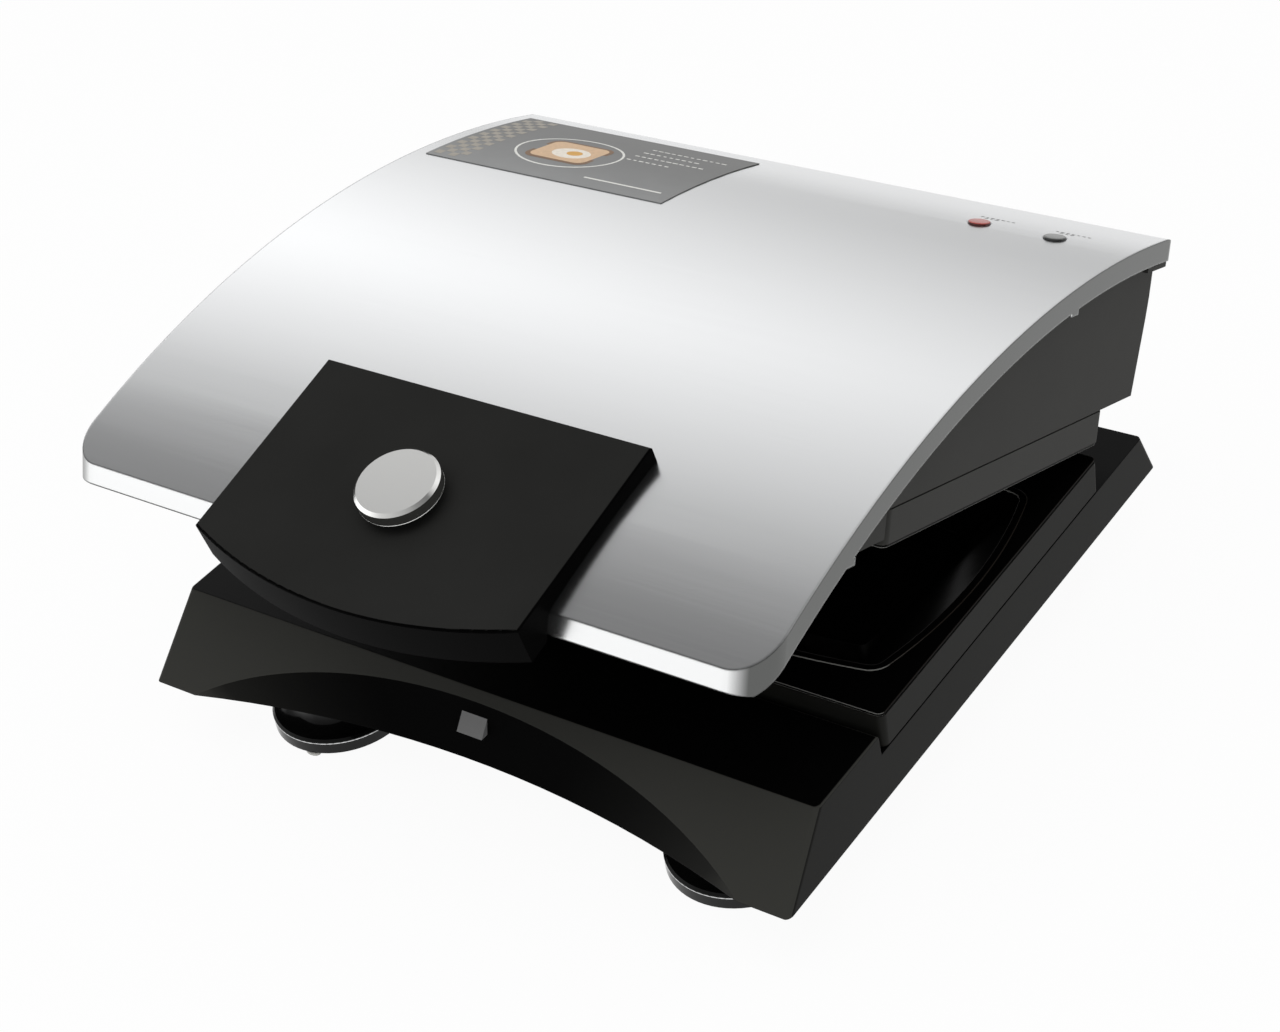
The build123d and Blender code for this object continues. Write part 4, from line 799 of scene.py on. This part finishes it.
class StageSettings(bpy.types.PropertyGroup):
    """Numbers for the camera, the studio, the light and the floor."""

    lens: FloatProperty(
        name="Lens", description="Focal length on a 36 mm sensor", default=70.95, min=10.0, unit="CAMERA"
    )
    reflection: FloatProperty(
        name="Reflections", description="Brightness of the studio as metal mirrors it", default=1.0
    )
    ambient: FloatProperty(name="Ambient", description="Brightness of the light from all round", default=0.6)
    key_power: FloatProperty(
        name="Soft box", description="Power of the overhead soft box", default=12.0, unit="POWER"
    )
    floor_size: FloatProperty(
        name="Floor", description="Side of the square floor", default=30.0, unit="LENGTH"
    )
    floor_white: FloatProperty(
        name="Floor white", description="Share of the floor without shadow", default=0.95, subtype="FACTOR"
    )


class BaseSettings(bpy.types.PropertyGroup):
    """Colours of the base, its feet and the lower tray."""

    side: colour_of("Sides", "Satin plastic of the base's sides", "#171715")
    # The slope's lighter colour is a painted light; the arch's and the top land's near black is a painted
    # shade.
    slope: colour_of("Slope", "Satin plastic of the sloping front", "#373734")
    painted_arch_shade: colour_of("Arch", "Matt plastic in the arch at the front", "#010101")
    top: colour_of("Top land", "Matt plastic on top of the base", "#040404")
    tray: colour_of("Lower tray", "Plastic of the lower tray", "#1c1c1a")
    foot: colour_of("Feet", "Glossy plastic of the feet", "#0a0a0a")
    pad: colour_of("Foot pads", "Rubber of the foot pads", "#b9b8b2")
    trim_wire: FloatProperty(
        name="Foot trim", description="Thickness of the feet's ring", default=0.6 * MM, unit="LENGTH"
    )
    tab_width: FloatProperty(
        name="Pad tab", description="Width of the pad's tab", default=5.6 * MM, unit="LENGTH"
    )


class LidSettings(bpy.types.PropertyGroup):
    """Colours of the lid's cover, housing and tray."""

    sheet: colour_of("Cover", "Brushed stainless sheet of the cover", "#e6e7e8")
    # The side rims' grey is a painted shade and the front rim's near white a painted highlight.
    sides: colour_of("Side rims", "Dull sides of the cover's rim", "#646564")
    rim: colour_of("Front rim", "Buffed front of the cover's rim", "#fafbfb")
    housing: colour_of("Housing", "Plastic of the lid housing", "#373735")
    tray: colour_of("Upper tray", "Plastic of the upper tray", "#3a3a38")
    fold: FloatProperty(
        name="Fold radius", description="Radius of the cover's folds", default=1.0 * MM, unit="LENGTH"
    )


class PlateSettings(bpy.types.PropertyGroup):
    """Finish of the cooking plates."""

    coating: colour_of("Coating", "Non-stick coating of the plates", "#050505")
    edge: FloatProperty(
        name="Edge radius", description="Radius of the plates' edges", default=0.5 * MM, unit="LENGTH"
    )


class LatchSettings(bpy.types.PropertyGroup):
    """Finishes of the latch."""

    panel: colour_of("Panel", "Matt plastic of the latch panel", "#262625")
    bead: FloatProperty(
        name="Bead", description="Bright bead round the button's foot", default=0.3 * MM, unit="LENGTH"
    )
    bevel: FloatProperty(
        name="Bevel", description="Bevel round the button's top", default=1.0 * MM, unit="LENGTH"
    )
    button: colour_of("Button", "Satin chrome of the button", "#fdfdfb")
    catch: colour_of("Catch", "Nylon of the catch in the base", "#7c7c7c")


class LampSettings(bpy.types.PropertyGroup):
    """Lenses and their printed marks."""

    proud: FloatProperty(
        name="Proud", description="How far a lens stands out", default=0.7 * MM, unit="LENGTH"
    )
    red: colour_of("Red lens", "Tint of the power lamp's lens", "#c24a3e")
    clear: colour_of("Clear lens", "Tint of the ready lamp's lens", "#6c6e6c")
    ink: colour_of("Marks", "Ink of the marks behind the lamps", "#4a4b4a")
    marks: IntProperty(name="Marks", description="Bars in the row behind each lamp", default=7, min=1)


class LabelSettings(bpy.types.PropertyGroup):
    """Colours of the label's print."""

    front: colour_of("Front", "Ground at the front of the label", "#7c7d7d")
    rear: colour_of("Rear", "Ground at the rear of the label", "#2a2a26")
    line: colour_of("Lines", "White ink of the lines", "#e4e4df")
    crust: colour_of("Crust", "Brown ink of the motif", "#7c5f45")
    toast: colour_of("Toast", "Beige ink of the motif", "#d8b692")
    cloth: colour_of("Cloth", "Ink of the checked border", "#a09a90")


SETTINGS = {
    "stage_settings": StageSettings,
    "base_settings": BaseSettings,
    "lid_settings": LidSettings,
    "plate_settings": PlateSettings,
    "latch_settings": LatchSettings,
    "lamp_settings": LampSettings,
    "label_settings": LabelSettings,
}


# ------------------------------------------------------------------ operators
class OBJECT_OT_make_stage(bpy.types.Operator):
    """Build the camera, the studio, the soft box and the floor"""

    bl_idname = "object.make_stage"
    bl_label = "Stage"

    def execute(self, context):
        settings = context.scene.stage_settings
        context.scene.view_settings.view_transform = "Standard"
        make_world(settings)
        make_camera(settings)
        make_soft_box(settings)
        make_floor(settings)
        return {"FINISHED"}


class OBJECT_OT_finish_base(bpy.types.Operator):
    """Finish the base shell, its cover, the lower tray, the feet and their pads"""

    bl_idname = "object.finish_base"
    bl_label = "Base and feet"

    def execute(self, context):
        s = context.scene.base_settings
        dress(
            ["base_shell"],
            base_plastic("textured_black_abs", s.side, s.slope, s.painted_arch_shade, s.top, 0.45, 0.06, 0.5),
        )
        dress(["bottom_cover"], moulded_plastic("matt_black_abs", linear("#161616"), 0.55, 0.2))
        dress(["lower_tray"], moulded_plastic("graphite_abs", s.tray, 0.5, 0.06))
        dress(["feet"], moulded_plastic("glossy_black_abs", s.foot, 0.12, 0.25, 1.2, 0.002))
        dress(["foot_pads"], moulded_plastic("grey_rubber", s.pad, 0.8, 0.3, 0.9, 0.04))
        self.make_tab(s)
        # The bright line round the top of each foot's rim.
        plate = bright_metal("chrome_plated_wire", linear("#dfe0e0"), 0.1)
        ring = {
            "Width": 2 * FOOT[0] * MM, "Depth": 2 * FOOT[1] * MM, "Radius": (FOOT_RIM[0] - 0.25) * MM,
            "Wire": s.trim_wire / 2, "Height": (FOOT_RIM[1] - 0.1) * MM, "Finish": plate,
        }
        bm = bmesh.new()
        bm.from_mesh(run_tree(rings_tree(), ring))
        smooth(new_piece("foot_trim", bm, plate, "base"))
        return {"FINISHED"}

    def make_tab(self, s):
        """The pale tab of the front left pad, under the rim of its foot."""
        bm = bmesh.new()
        half = s.tab_width / 2
        outline = [(-half, 0.0), (half, 0.0)]
        outline += [(half * math.cos(a), -(TAB_STRAIGHT + TAB_ROUND * math.sin(a)) * MM) for a in TAB_ANGLES]
        left, front = TAB_PLACE[0] * MM, TAB_PLACE[1] * MM
        for z in TAB_HEIGHTS:
            bm.faces.new([bm.verts.new((x + left, y + front, z * MM)) for x, y in outline])
        bottom, top = list(bm.verts)[: len(outline)], list(bm.verts)[len(outline) :]
        for i in range(len(outline)):
            j = (i + 1) % len(outline)
            bm.faces.new((bottom[i], bottom[j], top[j], top[i]))
        tab = new_piece(
            "foot_pad_tab", bm, moulded_plastic("pale_silicone", linear("#d2d2cd"), 0.4, 0.4), "base"
        )


class OBJECT_OT_finish_lid(bpy.types.Operator):
    """Finish the sheet cover, the lid housing and the upper tray"""

    bl_idname = "object.finish_lid"
    bl_label = "Lid"

    def execute(self, context):
        s = context.scene.lid_settings
        dress(
            ["lid_cover"],
            brushed_sheet("brushed_stainless_sheet", s.sheet, 0.22, 0.015, s.fold / MM, s.sides, s.rim),
        )
        dress(["lid_housing"], moulded_plastic("satin_graphite_abs", s.housing, 0.5, 0.06))
        dress(["upper_tray"], moulded_plastic("light_graphite_abs", s.tray, 0.5, 0.06))
        return {"FINISHED"}


class OBJECT_OT_finish_plates(bpy.types.Operator):
    """Finish the cooking plates and the heating parts behind them"""

    bl_idname = "object.finish_plates"
    bl_label = "Plates and heaters"

    def execute(self, context):
        s = context.scene.plate_settings
        # The two edge colours are painted highlights on the plates' rounded edges.
        coating = nonstick_coating(
            "sprayed_nonstick", s.coating, 0.1, s.edge / MM, linear("#2a2520"), linear("#a3a39f")
        )
        dress(["lower_cooking_plate", "upper_cooking_plate"], coating)
        tube = bright_metal("drawn_stainless_tube", linear("#b9b9b6"), 0.2)
        dress(["lower_heating_element", "upper_heating_element"], tube)
        sheet = brushed_sheet("rolled_aluminium_sheet", linear("#c9cacb"), 0.32, 0.03, 0.3)
        dress(
            ["lower_element_clips", "upper_element_clips", "lower_heat_reflector", "upper_heat_reflector"],
            sheet,
        )
        steatite = moulded_plastic("glazed_steatite", linear("#dad6cc"), 0.35, 0.5, 0.8, 0.005)
        dress(["lower_thermostat", "upper_thermostat", "lower_thermal_fuse", "upper_thermal_fuse"], steatite)
        return {"FINISHED"}


class OBJECT_OT_finish_latch(bpy.types.Operator):
    """Finish the latch: panel, button, stem, hook, spring and catch"""

    bl_idname = "object.finish_latch"
    bl_label = "Latch"

    def execute(self, context):
        s = context.scene.latch_settings
        # The panel's faces square to the top get #020202 as a painted shade.
        dress(
            ["latch_panel"],
            moulded_plastic("fine_matt_black_abs", s.panel, 0.55, 0.02, 0.5, 0.008, linear("#020202")),
        )
        self.make_button(s)
        dress(["latch_hook", "button_stem"], moulded_plastic("black_acetal", linear("#171717"), 0.4, 0.4))
        dress(["latch_catch"], moulded_plastic("grey_nylon", s.catch, 0.5, 0.4))
        dress(["button_spring"], bright_metal("spring_steel_wire", linear("#a8aaac"), 0.2))
        dress(["hook_pin", "fork_pin"], bright_metal("ground_steel_pin", linear("#c4c5c6"), 0.15))
        return {"FINISHED"}

    def make_button(self, s):
        """The button with its bevel widened, and a bright bead round its foot."""
        bm = copy_of("latch_button")
        way = Vector((0.0, -math.sin(BUTTON_TILT), math.cos(BUTTON_TILT)))
        top = max((v.co - BUTTON_AXIS).dot(way) for v in bm.verts)
        for vertex in bm.verts:
            height = (vertex.co - BUTTON_AXIS).dot(way)
            centre = BUTTON_AXIS + way * height
            out = vertex.co - centre
            if height > top - 0.3 * BUTTON_BEVEL * MM:
                narrow = 1.0 - max(0.0, s.bevel - BUTTON_BEVEL * MM) / max(out.length, 1e-6)
                vertex.co = centre + out * (narrow if out.length > 0.005 else 1.0)
            elif height > top - 1.3 * BUTTON_BEVEL * MM:
                vertex.co = vertex.co - way * (s.bevel - BUTTON_BEVEL * MM)
        cap = [v for v in bm.verts if top - (v.co - BUTTON_AXIS).dot(way) < 1.2 * BUTTON_THICKNESS * MM]
        low = top - BUTTON_THICKNESS * MM
        wide = max((v.co - BUTTON_AXIS - way * (v.co - BUTTON_AXIS).dot(way)).length for v in cap)
        chrome = bright_metal("satin_chrome_plate", s.button, 0.17)
        button = new_piece("chrome_button", bm, chrome, "button", 20)
        smooth(button)
        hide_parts("latch_button")
        turn = way.to_track_quat("Z", "Y").to_matrix().to_4x4()
        bm = bmesh.new()
        add_torus(bm, wide - 0.3 * s.bead, s.bead / 2)
        bm.transform(Matrix.Translation(BUTTON_AXIS + way * (low + 0.8 * s.bead)) @ turn)
        smooth(new_piece("button_bead", bm, chrome, "button"))


class OBJECT_OT_finish_lamps(bpy.types.Operator):
    """Finish the two lamps and print the marks behind them"""

    bl_idname = "object.finish_lamps"
    bl_label = "Lamps"

    def execute(self, context):
        s = context.scene.lamp_settings
        dress(["lamp_holder"], moulded_plastic("glass_filled_nylon", linear("#1d1d1b"), 0.45, 0.4))
        dress(["indicator_neons"], tinted_lens("neon_tube_glass", linear("#e0b59a"), 0.05, 0.8))
        # The dark colours are painted shade on the lenses' sides.
        red = tinted_lens("red_polycarbonate", s.red, 0.12, 0.2, linear("#521009"))
        clear = tinted_lens("clear_polycarbonate", s.clear, 0.1, 0.2, linear("#262726"))
        self.lower_lens("red_lens", "red_lamp_lens", red, s.proud / MM)
        self.lower_lens("clear_lens", "clear_lamp_lens", clear, s.proud / MM)
        ink = printed_ink("grey_screen_ink", s.ink)
        tree = marks_tree()
        bm = bmesh.new()
        for x, seed in ((RED_LAMP_X, 3), (CLEAR_LAMP_X, 8)):
            for row, (back, count) in enumerate(((8.2, s.marks), (6.9, 3))):
                add_marks(
                    bm, tree, (x - 3.0 + 2.0 * row, LAMP_Y + back), CROWN_RADIUS,
                    Count=count, Pitch=1.9, Length=1.5, Width=0.5, Thickness=INK_THICKNESS,
                    Shortest=0.45, Seed=seed + row, Ink=ink,
                )
        new_piece("lamp_marks", bm, ink, "lid")
        return {"FINISHED"}

    def lower_lens(self, name, node, finish, proud):
        """A lens with its face almost flush with the cover, on the same flange."""
        bm = copy_of(node)
        for vertex in bm.verts:
            x, y, z = closed_lid(vertex.co)
            height = math.hypot(y - CROWN[0], z - CROWN[1]) - CROWN_RADIUS
            if height > 0.0:
                vertex.co = on_crown(x, y, height * proud / LENS_PROUD)
        lens = new_piece(name, bm, finish, "lid", 40)
        smooth(lens)
        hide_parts(node)


class OBJECT_OT_print_label(bpy.types.Operator):
    """Finish the label and print its border, its lines and its breakfast motif"""

    bl_idname = "object.print_label"
    bl_label = "Label"

    def execute(self, context):
        s = context.scene.label_settings
        dress(["lid_label"], label_film("printed_polyester_film", s.front, s.rear))
        radius = self.film_radius()
        tree = marks_tree()
        white = printed_ink("white_screen_ink", s.line)
        # Lines: four rows of uneven bars at the right, and a rule below them.
        bm = bmesh.new()
        for row, (y, count) in enumerate(((84.0, 12), (78.5, 9), (73.0, 11), (67.5, 7))):
            add_marks(
                bm, tree, (-60.0, y), radius,
                Count=count, Pitch=2.7, Length=2.2, Width=0.8, Thickness=INK_THICKNESS,
                Shortest=0.5, Seed=row, Ink=white,
            )
        add_patch(bm, [(41.0, -60.5, -28.0), (42.0, -60.5, -28.0)], RULE_THICKNESS, radius)
        self.add_ring(bm, PLATE_CENTRE, 21.0, 17.5, 0.9, radius)
        new_piece("label_lines", bm, white, "lid")
        # Border: a checked cloth at the left end.
        cloth = printed_ink("beige_screen_ink", s.cloth)
        bm = bmesh.new()
        for row in range(18):
            add_marks(
                bm, tree, (-121.6 + 3.2 * (row % 2), 37.5 + 3.2 * row), radius,
                Count=2, Pitch=6.4, Length=3.2, Width=3.2, Thickness=INK_THICKNESS,
                Shortest=1.0, Seed=0, Ink=cloth,
            )
        new_piece("label_cloth", bm, cloth, "lid")
        # Motif: a slice of toast with an egg on a round plate.
        crust, toast = slab_rows(-82.0, 62.0, 13.5, 11.5, 4.5), slab_rows(-82.0, 62.2, 12.0, 10.0, 3.6)
        egg, yolk = disc_rows(-80.5, 61.0, 7.6, 5.8), disc_rows(-79.3, 61.4, 3.1, 2.6)
        for name, ink, colour, rows, high in (
            ("label_crust", "brown_screen_ink", s.crust, crust, 0.04),
            ("label_toast", "toast_screen_ink", s.toast, toast, 0.06),
            ("label_egg", "cream_screen_ink", linear("#efe7da"), egg, 0.08),
            ("label_yolk", "amber_screen_ink", linear("#d9a349"), yolk, 0.1),
        ):
            bm = bmesh.new()
            add_patch(bm, rows, high, radius)
            new_piece(name, bm, printed_ink(ink, colour), "lid")
        return {"FINISHED"}

    def film_radius(self):
        """The radius of the label's outer face round the crown's axis."""
        label = frame["nodes"]["lid_label"]
        points = [closed_lid(label.matrix_world @ vertex.co) for vertex in label.data.vertices]
        best = max(math.hypot(y - CROWN[0], z - CROWN[1]) for _, y, z in points)
        if best < CROWN_RADIUS:
            raise RuntimeError("the label's face was not found on the crown")
        return best

    def add_ring(self, bm, place, across, along, width, radius, steps=40):
        """The rim of a plate, as a closed ring of thin quads."""
        verts = []
        for i in range(steps):
            angle = 2 * math.pi * i / steps
            for a, b in ((across, along), (across - width, along - width)):
                for lift in (0.0, RULE_THICKNESS):
                    x, y = place[0] + a * math.cos(angle), place[1] + b * math.sin(angle)
                    verts.append(bm.verts.new(on_crown(x, y, lift, radius)))
        for i in range(steps):
            a, b = verts[4 * i : 4 * i + 4], verts[4 * ((i + 1) % steps) :][:4]
            for p, q in ((0, 1), (1, 3), (3, 2), (2, 0)):
                bm.faces.new((a[p], b[p], b[q], a[q]))


class OBJECT_OT_finish_fittings(bpy.types.Operator):
    """Finish the screws, hinges, brackets and the mains fittings"""

    bl_idname = "object.finish_fittings"
    bl_label = "Fittings"

    def execute(self, context):
        zinc = bright_metal("zinc_plated_steel", linear("#b4b6b8"), 0.28)
        slots = {part["node"]: part["material_slot"] for part in frame["record"]["subparts"]}
        dress([node for node, slot in slots.items() if slot == "screw_steel"], zinc)
        dress(["hinge_pins"], bright_metal("polished_steel_pin", linear("#cfd0d0"), 0.14))
        dress(["cord_inlet_bush"], moulded_plastic("black_pvc", linear("#141414"), 0.6, 0.35, 0.9, 0.02))
        dress(["terminal_block"], moulded_plastic("white_polyamide", linear("#cfccc2"), 0.45, 0.4))
        return {"FINISHED"}


PIECES = (
    OBJECT_OT_make_stage,
    OBJECT_OT_finish_base,
    OBJECT_OT_finish_lid,
    OBJECT_OT_finish_plates,
    OBJECT_OT_finish_latch,
    OBJECT_OT_finish_lamps,
    OBJECT_OT_print_label,
    OBJECT_OT_finish_fittings,
)


class VIEW3D_PT_sandwich_maker(bpy.types.Panel):
    """The sandwich maker's pieces and their settings"""

    bl_idname = "VIEW3D_PT_sandwich_maker"
    bl_label = "Breakfast sandwich maker"
    bl_space_type = "VIEW_3D"
    bl_region_type = "UI"
    bl_category = "Sandwich maker"

    def draw(self, context):
        for piece in PIECES:
            self.layout.operator(piece.bl_idname)
        for name, group in SETTINGS.items():
            box = self.layout.box()
            box.label(text=name.replace("_", " ").capitalize())
            for key in group.__annotations__:
                box.prop(getattr(context.scene, name), key)


CLASSES = (*SETTINGS.values(), *PIECES, VIEW3D_PT_sandwich_maker)


def register():
    for cls in CLASSES:
        bpy.utils.register_class(cls)
    for name, group in SETTINGS.items():
        setattr(bpy.types.Scene, name, PointerProperty(type=group))


def unregister():
    for name in SETTINGS:
        delattr(bpy.types.Scene, name)
    for cls in reversed(CLASSES):
        bpy.utils.unregister_class(cls)


def main():
    """Dresses the sandwich maker."""
    register()
    bpy.ops.object.make_stage()
    bpy.ops.object.finish_base()
    bpy.ops.object.finish_lid()
    bpy.ops.object.finish_plates()
    bpy.ops.object.finish_latch()
    bpy.ops.object.finish_lamps()
    bpy.ops.object.print_label()
    bpy.ops.object.finish_fittings()


if __name__ == "__main__":
    main()
